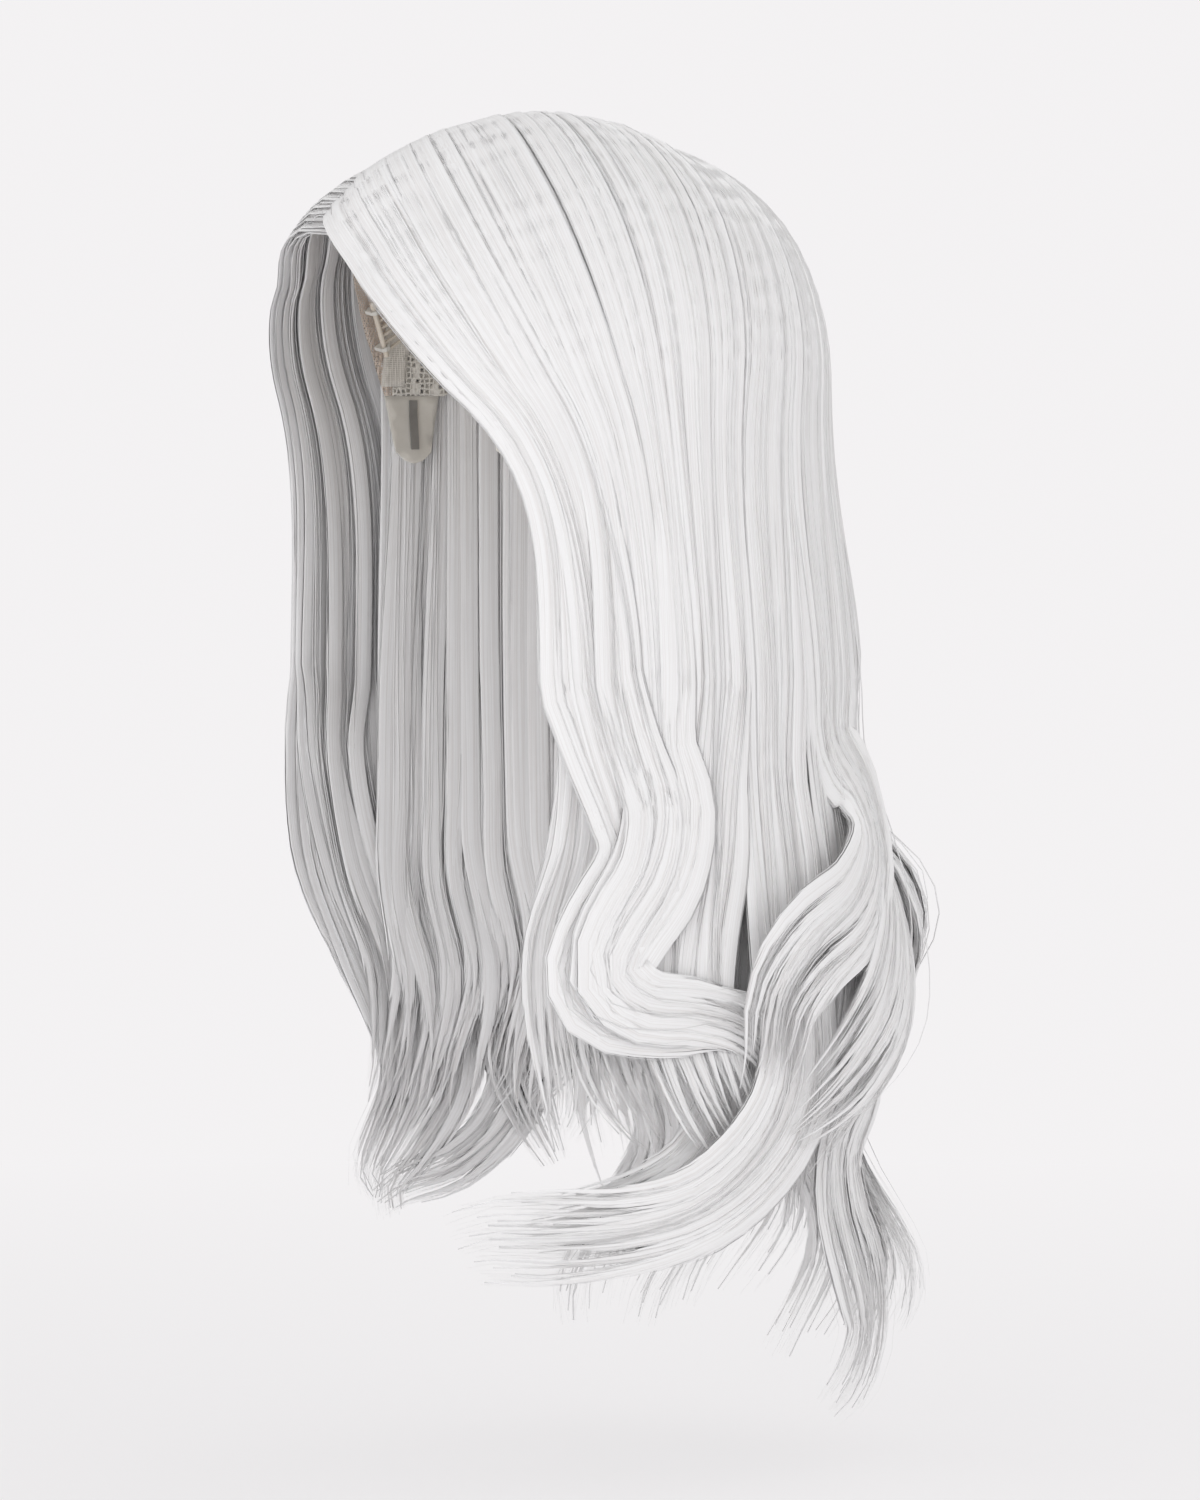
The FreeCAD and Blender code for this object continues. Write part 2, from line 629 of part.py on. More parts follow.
def run_on(ring):
    """How far, in degrees, a strand turns on below the widest part of the head before it hangs."""
    start, end = root_way(ring), ring_way(ring)
    along = end * start.dot(end) - start
    sideways = along.x * end.y - along.y * end.x
    return math.degrees(sideways / along.z / HEIGHT) * RUN_ON_HEIGHT


def hanging(ring, z, offset, forwards=0.0):
    """A point of the hair below the widest part of the head. It may be turned forwards by some degrees."""
    drop = -z
    angle = ring + forwards - run_on(ring) * (1 - math.exp(-drop / RUN_ON_HEIGHT))
    curl = smooth((drop - size("curl_start")) / 50)
    phase = PHASE_LEFT + PHASE_TURN * (size("ring_left") - ring)
    phase += PHASE_SPREAD * math.sin(math.radians(3 * (ring - 20)))
    wave = 2 * math.pi * (drop - size("curl_start")) / size("curl_length") + math.radians(phase)
    out = offset + size("flare") * smooth(drop / 150)
    out += size("curl_depth") * (1 + math.sin(wave)) * curl
    sway = size("curl_sway") * math.cos(wave) * curl
    to_right = smooth((-ring - 55) / 80)
    sway += size("right_sway") * to_right * smooth((drop - 175) / 120)
    deep = out * size("back_fullness")
    turn = math.radians(angle + math.degrees(sway / (HALF_LENGTH + out)))
    return Vector((HALF_WIDTH + out) * math.sin(turn), (HALF_LENGTH + deep) * math.cos(turn), z)


def hair_point(ring, way, offset):
    """A point of the hair. The way is 0 to 1 over the head, and then 1 plus the drop below it."""
    if way <= 1:
        d = over_head(ring, way)
        deep = offset * (1 + (size("back_fullness") - 1) * smooth(way * 1.4))
        return Vector((HALF_WIDTH + offset) * d.x, (HALF_LENGTH + deep) * d.y, (HEIGHT + offset) * d.z)
    return hanging(ring, 1 - way, offset)


def lock_section(flow, first, last, way, offset, thickness, gap, keep=1.0, thin=1.0):
    """The outline of a lock between two ring angles, at one place along its way. It is thinner at its sides."""
    middle, half = (first + last) / 2, (first - last) / 2
    width = (flow(first, way, offset) - flow(last, way, offset)).Length
    half *= max(0.2, 1 - gap / width) * keep
    outer, inner = [], []
    for side in ACROSS:
        depth = thickness / 2 * thin * (1 - (1 - SIDE_THINNESS) * side * side)
        outer.append(flow(middle + side * half, way, offset + depth))
        inner.append(flow(middle + side * half, way, offset - depth))
    return outer + inner[::-1]


def flat(section):
    """The same outline, pressed flat."""
    half = len(section) // 2
    middle = sum(section, Vector()) * (1 / len(section))
    out = sum(section[:half], Vector()) - sum(section[half:], Vector())
    square = (section[0] - section[half - 1]).cross(out).normalize()
    return [point - square * (point - middle).dot(square) for point in section]


def top_layer(way):
    """The middle offset and the thickness of the hair from the parting, along its way."""
    share = smooth(way / 0.62)
    root, full = size("root_thickness"), size("top_hair_thickness")
    thickness = root + (full - root) * smooth(way / 0.4)
    start = strip_out + size("sew_gap") + root / 2
    end = weft_out + size("hair_gap") + full / 2
    return start + (end - start) * share, thickness


def drops(tip):
    """The heights below the opening where a lock has a section: the same for all locks, and its own tip."""
    found = []
    drop = 0.0
    while True:
        drop += STRAIGHT_PITCH if drop + STRAIGHT_PITCH <= size("curl_start") + 1 else CURL_PITCH
        if drop > tip - CURL_PITCH * 0.6:
            return found + [tip]
        found.append(drop)


def lock_gap(way):
    """The gap to the next lock: hardly any at the root, more where the curls come apart."""
    apart = smooth((way - 1 - size("curl_start")) / 60)
    return size("lock_gap") * (0.3 + 0.7 * smooth(way / 0.5)) + CURL_GAP * apart


def build_lock(name, first, last, tip, lift, sweep):
    """One lock of the hair from the parting. A lock with a sweep turns forwards at its end."""
    sections = []
    for way in OVER_HEAD:
        offset, thickness = top_layer(way)
        raised = lift * smooth((way - OVER_HEAD[1]) / 0.12) * (1 - smooth((way - 0.25) / 0.3))
        sections.append(lock_section(hair_point, first, last, way, offset + raised, thickness, lock_gap(way)))
    offset, thickness = top_layer(1)
    for drop in drops(tip):
        ending = 0.0 if sweep else smooth((drop - tip + TIP_LENGTH) / TIP_LENGTH)
        sections.append(lock_section(
            hair_point, first, last, 1 + drop, offset, thickness, lock_gap(1 + drop),
            1 - 0.6 * ending, 1 - 0.6 * ending,
        ))
    if sweep:
        sections += sweep_sections(first, last, tip, offset, thickness, sweep)
    return loft(name, sections)


def sweep_sections(first, last, tip, offset, thickness, sweep):
    """The end of a long lock that turns forwards and lies along the shoulder."""
    ring = (first + last) / 2
    width = (hair_point(first, 1 + tip, offset) - hair_point(last, 1 + tip, offset)).Length

    def centre(share):
        drop = tip + SWEEP_DROP * math.sin(math.radians(90 * min(1.0, 1.35 * share)))
        return hanging(ring, -drop, offset, sweep * share ** 1.25)

    sections = []
    for number in range(1, SWEEP_SECTIONS + 1):
        share = number / SWEEP_SECTIONS
        middle = centre(share)
        along = (centre(share + 0.02) - centre(share - 0.02)).normalize()
        across = along.cross(Vector(middle.x, middle.y, 0)).normalize()
        out = across.cross(along).normalize()
        ending = smooth((share - 0.6) / 0.4)
        half, depth = width * (0.44 - 0.2 * ending), thickness * (0.5 - 0.25 * ending)
        rounds = [(side, depth * (1 - (1 - SIDE_THINNESS) * side * side)) for side in ACROSS]
        sections.append(
            [middle + across * (half * side) + out * round_out for side, round_out in rounds]
            + [middle + across * (half * side) - out * round_out for side, round_out in rounds[::-1]]
        )
    return sections


def weft_point(ring, way, offset):
    """A point of the wefts' hair. The way is its height above the opening in degrees, as a minus, or its drop."""
    out = offset + WEFT_FLARE * smooth(way / 150)
    deep = out + (size("back_fullness") - 1) * (out - track_out)
    up = math.radians(max(0.0, -way))
    d = ring_way(ring) * math.cos(up) + Vector(0, 0, math.sin(up))
    height = (HEIGHT + offset) * d.z if way <= 0 else -way
    return Vector((HALF_WIDTH + out) * d.x, (HALF_LENGTH + deep) * d.y, height)


def build_weft_lock(name, first, last, tip):
    """One lock of the hair that the wefts carry, under the hair from the parting."""
    full = size("weft_hair_thickness")
    sections = []
    for rise in WEFT_RISE:
        depth = full * (1 - 0.55 * smooth((rise - 6) / 18))
        sections.append(lock_section(
            weft_point, first, last, -rise, track_out + size("weft_hair_gap") + depth / 2, depth, size("lock_gap")
        ))
    count = round(tip / WEFT_PITCH)
    for number in range(1, count + 1):
        drop = tip * number / count
        ending = smooth((drop - tip + TIP_LENGTH) / TIP_LENGTH)
        sections.append(lock_section(
            weft_point, first, last, drop, track_out + size("weft_hair_gap") + full / 2, full,
            size("lock_gap") * 1.5, 1 - 0.5 * ending, 1 - 0.6 * ending,
        ))
    return loft(name, sections)


def loft(name, sections):
    """A closed solid through the outlines. Between two corners it has two flat facets, split the shorter way."""
    sections = [flat(sections[0])] + sections[1:-1] + [flat(sections[-1])]
    outlines = [sections[0], sections[-1]]
    for lower, upper in zip(sections, sections[1:]):
        for side in range(len(lower)):
            beside = (side + 1) % len(lower)
            near, far = [lower[side], lower[beside]], [upper[beside], upper[side]]
            if (near[0] - far[0]).Length < (near[1] - far[1]).Length:
                outlines += [[*near, far[0]], [near[0], *far]]
            else:
                outlines += [[*near, far[1]], [near[1], *far]]
    feature = doc.addObject("Part::Feature", name)
    feature.Shape = Part.Solid(Part.makeShell([Part.Face(Part.makePolygon(o + o[:1])) for o in outlines]))
    return feature


HOOK_ANGLE = 17.0
STRAP_END = 51.0
CASING_START = 34.0
CASING_END = 52.0
TAPE_START = 4.0
LOOP_ANGLE = 6.0

OVER_HEAD = (0.03, 0.12, 0.24, 0.37, 0.5, 0.63, 0.76, 0.88, 1.0)
WEFT_RISE = (24, 16, 8, 0)
ACROSS = (1.0, 0.35, -0.35, -1.0)
STRAIGHT_PITCH = 27.5
CURL_PITCH = 15.0
WEFT_PITCH = 45.0
RUN_ON_HEIGHT = 42.0
PHASE_LEFT = -211.0
PHASE_TURN = 1.11
PHASE_SPREAD = 28.0
CURL_GAP = 4.0
SIDE_THINNESS = 0.55
TIP_LENGTH = 80.0
SWEEP_DROP = 30.0
SWEEP_SECTIONS = 6
WEFT_FLARE = 6.0

LOCKS = [
    ("face_lock_left", 322, 14, 0),
    ("temple_lock_left", 335, 8, 0),
    ("side_lock_left", 318, 4, 0),
    ("shoulder_curl_left", 338, 0, 50),
    ("rear_side_lock_left", 345, 0, 0),
    ("nape_curl_left", 452, 0, 0),
    ("back_lock_left", 430, 0, 0),
    ("back_lock_center", 445, 0, 0),
    ("back_lock_right", 425, 0, 0),
    ("nape_curl_right", 448, 0, 0),
    ("rear_side_lock_right", 410, 0, 0),
    ("side_lock_right", 395, 4, 0),
    ("temple_lock_right", 372, 8, 0),
    ("face_lock_right", 352, 12, 0),
]
WEFT_LOCKS = [
    ("weft_hair_left_1", 300), ("weft_hair_left_2", 315), ("weft_hair_left_3", 320), ("weft_hair_left_4", 380),
    ("weft_hair_right_4", 375), ("weft_hair_right_3", 365), ("weft_hair_right_2", 350), ("weft_hair_right_1", 330),
]
WEFT_RING_LEFT = 98.0
WEFT_RING_RIGHT = -112.0


def build_hair():
    """Every lock, from the left of the face round the back to the right of the face."""
    parts = {}
    step = (size("ring_left") - size("ring_right")) / len(LOCKS)
    for number, (name, tip, lift, sweep) in enumerate(LOCKS):
        first = size("ring_left") - number * step
        parts[name] = build_lock(name, first, first - step, tip, lift, sweep)
    step = (WEFT_RING_LEFT - WEFT_RING_RIGHT) / len(WEFT_LOCKS)
    for number, (name, tip) in enumerate(WEFT_LOCKS):
        first = WEFT_RING_LEFT - number * step
        parts[name] = build_weft_lock(name, first, first - step, tip)
    return parts


parts = build_cap()
COMB_PLACES = {
    "left": comb_frame(Vector(0.82, -0.508, 0.285).normalize(), Vector(0, 1, 0.45)),
    "right": comb_frame(Vector(-0.82, -0.508, 0.285).normalize(), Vector(0, 1, 0.45)),
    "back": comb_frame(Vector(0, 0.953, -0.30).normalize(), Vector(0, 0, 1)),
}
for side, place in COMB_PLACES.items():
    parts[f"comb_{side}"] = build_comb(f"comb_{side}", place)
    parts[f"comb_keeper_{side}"] = build_keeper(f"comb_keeper_{side}", place)
for side, sign in (("left", 1), ("right", -1)):
    parts.update(build_adjuster(side, sign))
parts.update(build_hair())
doc.recompute()

for item in doc.Objects:
    if "Invalid" in item.State or "Error" in item.State:
        raise RuntimeError(f"{item.Label} did not build: {item.State}")
os.makedirs("parts", exist_ok=True)
for name, item in parts.items():
    shape = item.Shape
    if shape.isNull() or not shape.isValid() or not shape.Solids:
        raise RuntimeError(f"{name} is not a valid solid")
    shape.exportStep(f"parts/{name}.step")
print(len(parts), "sub-parts")
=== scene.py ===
"""Looks of a long costume wig: curled fibre hair on a lace-front cap."""

import json
import math

import bmesh
import bpy
import numpy as np
from mathutils import Matrix, Vector


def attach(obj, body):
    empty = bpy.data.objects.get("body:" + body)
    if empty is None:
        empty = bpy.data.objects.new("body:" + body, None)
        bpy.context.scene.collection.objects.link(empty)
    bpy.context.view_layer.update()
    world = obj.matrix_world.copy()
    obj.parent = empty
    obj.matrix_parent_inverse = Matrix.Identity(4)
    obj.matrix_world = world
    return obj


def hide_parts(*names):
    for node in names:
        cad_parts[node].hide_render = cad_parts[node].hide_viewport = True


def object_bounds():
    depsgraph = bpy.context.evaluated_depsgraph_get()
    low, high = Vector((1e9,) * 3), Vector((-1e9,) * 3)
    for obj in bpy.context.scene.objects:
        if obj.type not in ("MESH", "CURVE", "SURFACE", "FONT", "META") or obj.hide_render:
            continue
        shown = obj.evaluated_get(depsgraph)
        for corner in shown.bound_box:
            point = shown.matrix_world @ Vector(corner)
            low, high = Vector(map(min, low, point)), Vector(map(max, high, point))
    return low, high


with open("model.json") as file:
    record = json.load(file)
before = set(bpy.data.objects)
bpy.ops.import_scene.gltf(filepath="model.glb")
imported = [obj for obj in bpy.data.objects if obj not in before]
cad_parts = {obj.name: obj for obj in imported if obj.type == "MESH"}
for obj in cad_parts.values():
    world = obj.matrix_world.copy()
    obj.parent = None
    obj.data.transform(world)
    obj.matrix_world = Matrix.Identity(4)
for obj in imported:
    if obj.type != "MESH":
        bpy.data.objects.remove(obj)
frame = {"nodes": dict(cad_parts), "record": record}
cad_low, cad_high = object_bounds()
rng = np.random.default_rng(7)

# ---------------------------------------------------------------- sizes in metres and degrees, as in the source

# the form that the cap follows, and how far its layers stand off it
HALF_WIDTH, HALF_LENGTH, HEIGHT = 0.076, 0.100, 0.105
NET_MIDDLE = 0.0035
TRACK_OUTSIDE = 0.00605
STRIP_OUTSIDE = 0.00505
# the bands and facets of the source's cap, from the lowest band up
BANDS, FACETS, LOWEST_BAND = 10, 36, -48.0
# the parting, and the whorl at its crown end
PARTING_SIDE, PARTING_FRONT, PARTING_CROWN = -0.008, -0.074, 0.018
WHORL_ANGLE, WHORL_RADIUS, PART_HALF_GAP = 60.0, 0.009, 0.0025
# hair hangs all round the cap between these angles from the back
RING_LEFT, RING_RIGHT = 122.0, -140.0
WEFT_RING_LEFT, WEFT_RING_RIGHT = 98.0, -112.0
# how many degrees above the opening the hair of the wefts starts
WEFT_RISE = 24.0
# below the opening hair turns on round the cap for a bit, stands out more and goes over into curls
RUN_ON_HEIGHT = 0.042
FULLNESS = 1.2
FLARE, WEFT_FLARE = 0.009, 0.006
CURL_START, CURL_LENGTH, CURL_DEPTH, CURL_SWAY = 0.165, 0.165, 0.013, 0.018
RIGHT_SWAY = 0.028
PHASE_LEFT, PHASE_TURN, PHASE_SPREAD = -211.0, 1.11, 28.0
# how thick the layers of hair are, and the gaps between them
ROOT_THICKNESS, TOP_THICKNESS, WEFT_THICKNESS = 0.0035, 0.009, 0.008
WEFT_GAP, HAIR_GAP, SEW_GAP = 0.00045, 0.002, 0.00025

# ---------------------------------------------------------------- sizes of the looks alone

# where a strand starts on its way over the crown, and how long that way is
ROOT_WAY = 0.008
OVER_LENGTH = 0.165
# how far below the opening a lock has gone over into its big curl, and its half width there
JOIN_DROP = 0.13
JOIN_WIDTH = 0.018
CURVE_PLACES = 120
# where the curls of one lock lie in its thickness, from -1 inside to 1 outside
CURL_LAYERS = ((0.35, 1.0), (-1.0, 0.3), (-0.3, 0.6))
CLUMPS = 3
# kind, number, sides round it and places along it, for each bundle of hair
CURL_TUBES = (("wisp", 17, 8, 58), ("strand", 140, 3, 46))
CLUMP_TUBES = (("wisp", 11, 8, 58), ("strand", 92, 3, 46))
WEFT_TUBES = (("wisp", 24, 8, 40), ("strand", 100, 3, 36))
WISP_HALF_WIDTH, STRAND_HALF_WIDTH = 0.0052, 0.00023
WISP_HALF_DEPTH_ROOT, WISP_HALF_DEPTH_TIP = 0.0004, 0.0012
# tubes stand this far apart until they are laid
TUBE_SPACING = 10
DEGREES_PER_RADIAN = 57.3

# the photographed view: where it is taken from, its scale and the pixel of the origin
CAMERA_TURN, CAMERA_RISE, CAMERA_DISTANCE = 70.0, 2.0, 3.2
PHOTO_WIDTH, PHOTO_HEIGHT = 1200, 1500
METRES_PER_PIXEL = 0.00044
MIDDLE_PIXEL = (543, 385)
SENSOR = 36

# name, length below the opening, how far the root stands up
TOP_LOCKS = [
    ("face_lock_left", 0.322, 0.014), ("temple_lock_left", 0.335, 0.008), ("side_lock_left", 0.318, 0.004),
    ("shoulder_curl_left", 0.338, 0.0), ("rear_side_lock_left", 0.345, 0.0), ("nape_curl_left", 0.452, 0.0),
    ("back_lock_left", 0.430, 0.0), ("back_lock_center", 0.445, 0.0), ("back_lock_right", 0.425, 0.0),
    ("nape_curl_right", 0.448, 0.0), ("rear_side_lock_right", 0.410, 0.0), ("side_lock_right", 0.395, 0.004),
    ("temple_lock_right", 0.372, 0.008), ("face_lock_right", 0.352, 0.012),
]
# name, length below the opening
WEFT_LOCKS = [
    ("weft_hair_left_1", 0.300), ("weft_hair_left_2", 0.315), ("weft_hair_left_3", 0.320),
    ("weft_hair_left_4", 0.380), ("weft_hair_right_4", 0.375), ("weft_hair_right_3", 0.365),
    ("weft_hair_right_2", 0.350), ("weft_hair_right_1", 0.330),
]

# Where each big curl runs once it hangs: across and down in the photographed view, and how many mm out of the cap.
# A negative distance is one on the far side. The last number of a curl is its half width there, in metres.
CURLS = {
    "face_lock_left": [
        [(608, 740, 34, 0.017), (628, 800, 36, 0.017), (632, 850, 42, 0.016), (600, 905, 48, 0.015),
         (582, 955, 50, 0.014), (600, 992, 52, 0.012), (655, 1004, 52, 0.011), (715, 1000, 50, 0.012),
         (757, 1020, 47, 0.010), (790, 1062, 44, 0.008)],
        [(590, 740, 28, 0.010), (585, 840, 29, 0.012), (562, 930, 32, 0.013), (566, 1010, 34, 0.014),
         (574, 1080, 34, 0.012), (560, 1118, 34, 0.007)],
    ],
    "temple_lock_left": [
        [(648, 740, 34, 0.015), (662, 800, 38, 0.016), (652, 862, 47, 0.016), (622, 915, 53, 0.015),
         (610, 955, 55, 0.013), (640, 985, 55, 0.012), (690, 992, 52, 0.011), (738, 1010, 50, 0.010),
         (765, 1048, 46, 0.008), (762, 1090, 44, 0.005)],
        [(640, 760, 28, 0.012), (628, 860, 30, 0.014), (604, 960, 32, 0.016), (612, 1040, 34, 0.016),
         (640, 1100, 34, 0.012), (662, 1130, 34, 0.006)],
    ],
    "side_lock_left": [
        [(694, 770, 34, 0.017), (688, 850, 38, 0.019), (678, 920, 43, 0.020), (676, 990, 45, 0.021),
         (694, 1050, 46, 0.020), (718, 1105, 45, 0.017), (745, 1150, 44, 0.011)],
        [(690, 780, 29, 0.014), (668, 880, 30, 0.017), (654, 960, 31, 0.018), (668, 1030, 32, 0.016),
         (690, 1085, 32, 0.008)],
    ],
    "shoulder_curl_left": [
        [(760, 770, 32, 0.016), (768, 860, 38, 0.018), (775, 950, 44, 0.018), (786, 1030, 48, 0.018),
         (776, 1095, 50, 0.018), (742, 1150, 50, 0.017), (690, 1190, 49, 0.016), (625, 1208, 47, 0.017),
         (555, 1212, 45, 0.019), (490, 1212, 43, 0.018), (462, 1222, 42, 0.016)],
        [(748, 800, 28, 0.014), (742, 900, 30, 0.016), (738, 1000, 34, 0.017), (730, 1090, 38, 0.016),
         (692, 1150, 42, 0.014), (640, 1180, 42, 0.013), (580, 1196, 40, 0.012), (520, 1206, 38, 0.010)],
    ],
    "rear_side_lock_left": [
        [(818, 740, 31, 0.016), (846, 796, 38, 0.018), (858, 850, 46, 0.020), (842, 902, 54, 0.021),
         (802, 940, 58, 0.021), (774, 985, 57, 0.019), (764, 1040, 53, 0.015), (748, 1082, 50, 0.010)],
        [(815, 780, 28, 0.014), (812, 880, 32, 0.017), (806, 970, 36, 0.018), (800, 1050, 38, 0.016),
         (780, 1120, 38, 0.010)],
        [(822, 750, 33, 0.017), (838, 850, 39, 0.020), (850, 950, 46, 0.022), (842, 1040, 48, 0.021),
         (814, 1110, 45, 0.016), (792, 1160, 40, 0.009)],
    ],
    "nape_curl_left": [
        [(845, 760, 30, 0.016), (868, 850, 40, 0.019), (882, 930, 50, 0.022), (874, 1000, 56, 0.022),
         (846, 1052, 58, 0.019), (812, 1090, 56, 0.015), (776, 1120, 54, 0.009)],
        [(842, 800, 28, 0.014), (862, 900, 34, 0.017), (880, 990, 42, 0.018), (868, 1070, 42, 0.017),
         (838, 1140, 36, 0.018), (838, 1200, 38, 0.021), (854, 1260, 44, 0.022), (864, 1320, 46, 0.019),
         (850, 1370, 44, 0.015), (822, 1404, 40, 0.009)],
    ],
    "rear_side_lock_right": [
        [(541, 740, -26, 0.016), (530, 850, -27, 0.016), (512, 950, -28, 0.015), (505, 1050, -29, 0.013),
         (528, 1130, -30, 0.011), (556, 1190, -30, 0.006)],
        [(546, 760, -21, 0.016), (548, 880, -22, 0.016), (560, 980, -23, 0.014), (552, 1070, -24, 0.012),
         (520, 1130, -24, 0.006)],
    ],
    "side_lock_right": [
        [(462, 740, -27, 0.017), (442, 850, -29, 0.017), (462, 960, -31, 0.016), (506, 1050, -33, 0.014),
         (518, 1100, -34, 0.012), (494, 1152, -34, 0.011), (450, 1190, -33, 0.011), (400, 1206, -32, 0.010),
         (372, 1226, -32, 0.008)],
        [(468, 760, -21, 0.016), (470, 880, -22, 0.016), (492, 980, -23, 0.014), (500, 1070, -24, 0.012),
         (476, 1130, -24, 0.006)],
    ],
    "temple_lock_right": [
        [(388, 740, -27, 0.017), (384, 850, -28, 0.017), (414, 950, -30, 0.016), (446, 1040, -31, 0.014),
         (444, 1110, -32, 0.012), (412, 1168, -32, 0.011), (386, 1206, -31, 0.009), (390, 1240, -31, 0.007)],
        [(394, 760, -21, 0.016), (404, 880, -22, 0.015), (430, 990, -23, 0.013), (424, 1080, -24, 0.011),
         (404, 1140, -24, 0.006)],
    ],
    "face_lock_right": [
        [(322, 740, -26, 0.016), (330, 850, -27, 0.016), (364, 950, -29, 0.014), (396, 1040, -30, 0.012),
         (398, 1100, -30, 0.010), (376, 1156, -30, 0.009), (364, 1190, -30, 0.008), (376, 1216, -30, 0.006)],
        [(330, 760, -21, 0.015), (352, 870, -22, 0.014), (384, 970, -23, 0.012), (386, 1060, -24, 0.010),
         (368, 1120, -24, 0.005)],
    ],
}


# ---------------------------------------------------------------- the flow of the hair

def smooth(share):
    """0 to 1 with soft ends."""
    share = np.clip(share, 0.0, 1.0)
    return share * share * (3 - 2 * share)


def unit(v):
    """Vectors brought to a length of 1."""
    return v / np.maximum(np.linalg.norm(v, axis=-1, keepdims=True), 1e-12)


def root_way(ring):
    """Unit direction in which hair leaves the parting, for hair that ends up at a ring angle."""
    sign = np.where(ring >= 0, 1.0, -1.0)
    limit = np.where(ring >= 0, RING_LEFT, -RING_RIGHT)
    turn = np.abs(ring)
    share = np.clip((turn - WHORL_ANGLE) / (limit - WHORL_ANGLE), 0.0, 1.04)
    bend = np.radians(90 * turn / WHORL_ANGLE)
    along = turn > WHORL_ANGLE
    x = PARTING_SIDE + sign * np.where(
        along, WHORL_RADIUS + (PART_HALF_GAP - WHORL_RADIUS) * smooth(share * 2), WHORL_RADIUS * np.sin(bend)
    )
    y = np.where(
        along, PARTING_CROWN + (PARTING_FRONT - PARTING_CROWN) * share, PARTING_CROWN + WHORL_RADIUS * np.cos(bend)
    )
    x, y = x / HALF_WIDTH, y / HALF_LENGTH
    return np.stack([x, y, np.sqrt(np.maximum(0.0, 1 - x * x - y * y))], -1)


def ring_way(ring):
    """Level unit direction at a ring angle, which counts from the back towards the wearer's left."""
    turn = np.radians(ring)
    return np.stack([np.sin(turn), np.cos(turn), np.zeros_like(turn)], -1)


def hair_point(ring, way, offset, phase=0.0, size=1.0):
    """Points of the top hair. The way is 0 to 1 over the crown, then 1 plus the drop below it in metres."""
    ring, way, offset, phase, size = np.broadcast_arrays(ring, way, offset, phase, size)
    start, end = root_way(ring), ring_way(ring)
    dot = np.sum(start * end, -1)
    angle = np.arccos(np.clip(dot, -1, 1))
    share = np.clip(way, 0, 1)
    over = start * np.sin((1 - share) * angle)[..., None] + end * np.sin(share * angle)[..., None]
    over /= np.sin(angle)[..., None]
    deep = offset * (1 + (FULLNESS - 1) * smooth(share * 1.4))
    top = np.stack([
        (HALF_WIDTH + offset) * over[..., 0], (HALF_LENGTH + deep) * over[..., 1], (HEIGHT + offset) * over[..., 2]
    ], -1)

    drop = np.maximum(way - 1, 0.0)
    along = end * dot[..., None] - start
    sideways = along[..., 0] * end[..., 1] - along[..., 1] * end[..., 0]
    run_on = np.degrees(sideways / along[..., 2] / HEIGHT) * RUN_ON_HEIGHT
    turn = ring - run_on * (1 - np.exp(-drop / RUN_ON_HEIGHT))
    curl = smooth((drop - CURL_START) / 0.05) * size
    wave = 2 * np.pi * (drop - CURL_START) / CURL_LENGTH + phase + np.radians(
        PHASE_LEFT + PHASE_TURN * (RING_LEFT - ring) + PHASE_SPREAD * np.sin(np.radians(3 * (ring - 20)))
    )
    out = offset + FLARE * smooth(drop / 0.15) + CURL_DEPTH * (1 + np.sin(wave)) * curl
    sway = CURL_SWAY * np.cos(wave) * curl
    sway = sway + RIGHT_SWAY * smooth((-ring - 55) / 80) * smooth((drop - 0.175) / 0.12)
    turn = np.radians(turn) + sway / (HALF_LENGTH + out)
    low = np.stack([
        (HALF_WIDTH + out) * np.sin(turn), (HALF_LENGTH + out * FULLNESS) * np.cos(turn), -drop
    ], -1)
    return np.where((way <= 1)[..., None], top, low)


def weft_point(ring, way, offset, phase=0.0, size=1.0):
    """Points of the hair that the wefts carry. The way is minus the height in degrees, or the drop in metres."""
    ring, way, offset, phase, size = np.broadcast_arrays(ring, way, offset, phase, size)
    drop = np.maximum(way, 0.0)
    up = np.radians(np.maximum(-way, 0.0))
    curl = smooth((drop - CURL_START - 0.02) / 0.08) * size * 0.4
    wave = 2 * np.pi * (drop - CURL_START) / CURL_LENGTH + phase
    out = offset + WEFT_FLARE * smooth(drop / 0.15) + CURL_DEPTH * 0.5 * np.sin(wave) * curl
    deep = out + (FULLNESS - 1) * (out - TRACK_OUTSIDE)
    turn = np.radians(ring) + CURL_SWAY * np.cos(wave) * curl / HALF_LENGTH
    x = (HALF_WIDTH + out) * np.sin(turn) * np.cos(up)
    y = (HALF_LENGTH + deep) * np.cos(turn) * np.cos(up)
    z = np.where(way <= 0, (HEIGHT + offset) * np.sin(up), -drop)
    return np.stack([x, y, z], -1)


def top_layer(way):
    """The middle offset and the thickness of the top hair along its way."""
    share = smooth(way / 0.62)
    thickness = ROOT_THICKNESS + (TOP_THICKNESS - ROOT_THICKNESS) * smooth(way / 0.4)
    start = STRIP_OUTSIDE + SEW_GAP + ROOT_THICKNESS / 2
    end = TRACK_OUTSIDE + WEFT_GAP + WEFT_THICKNESS + HAIR_GAP + TOP_THICKNESS / 2
    return start + (end - start) * share, thickness


def weft_layer(way):
    """The middle offset and the thickness of the weft hair along its way."""
    rise = smooth((-way - 6) / 18)
    depth = WEFT_THICKNESS * (1 - 0.55 * rise)
    return TRACK_OUTSIDE + WEFT_GAP + depth / 2, depth


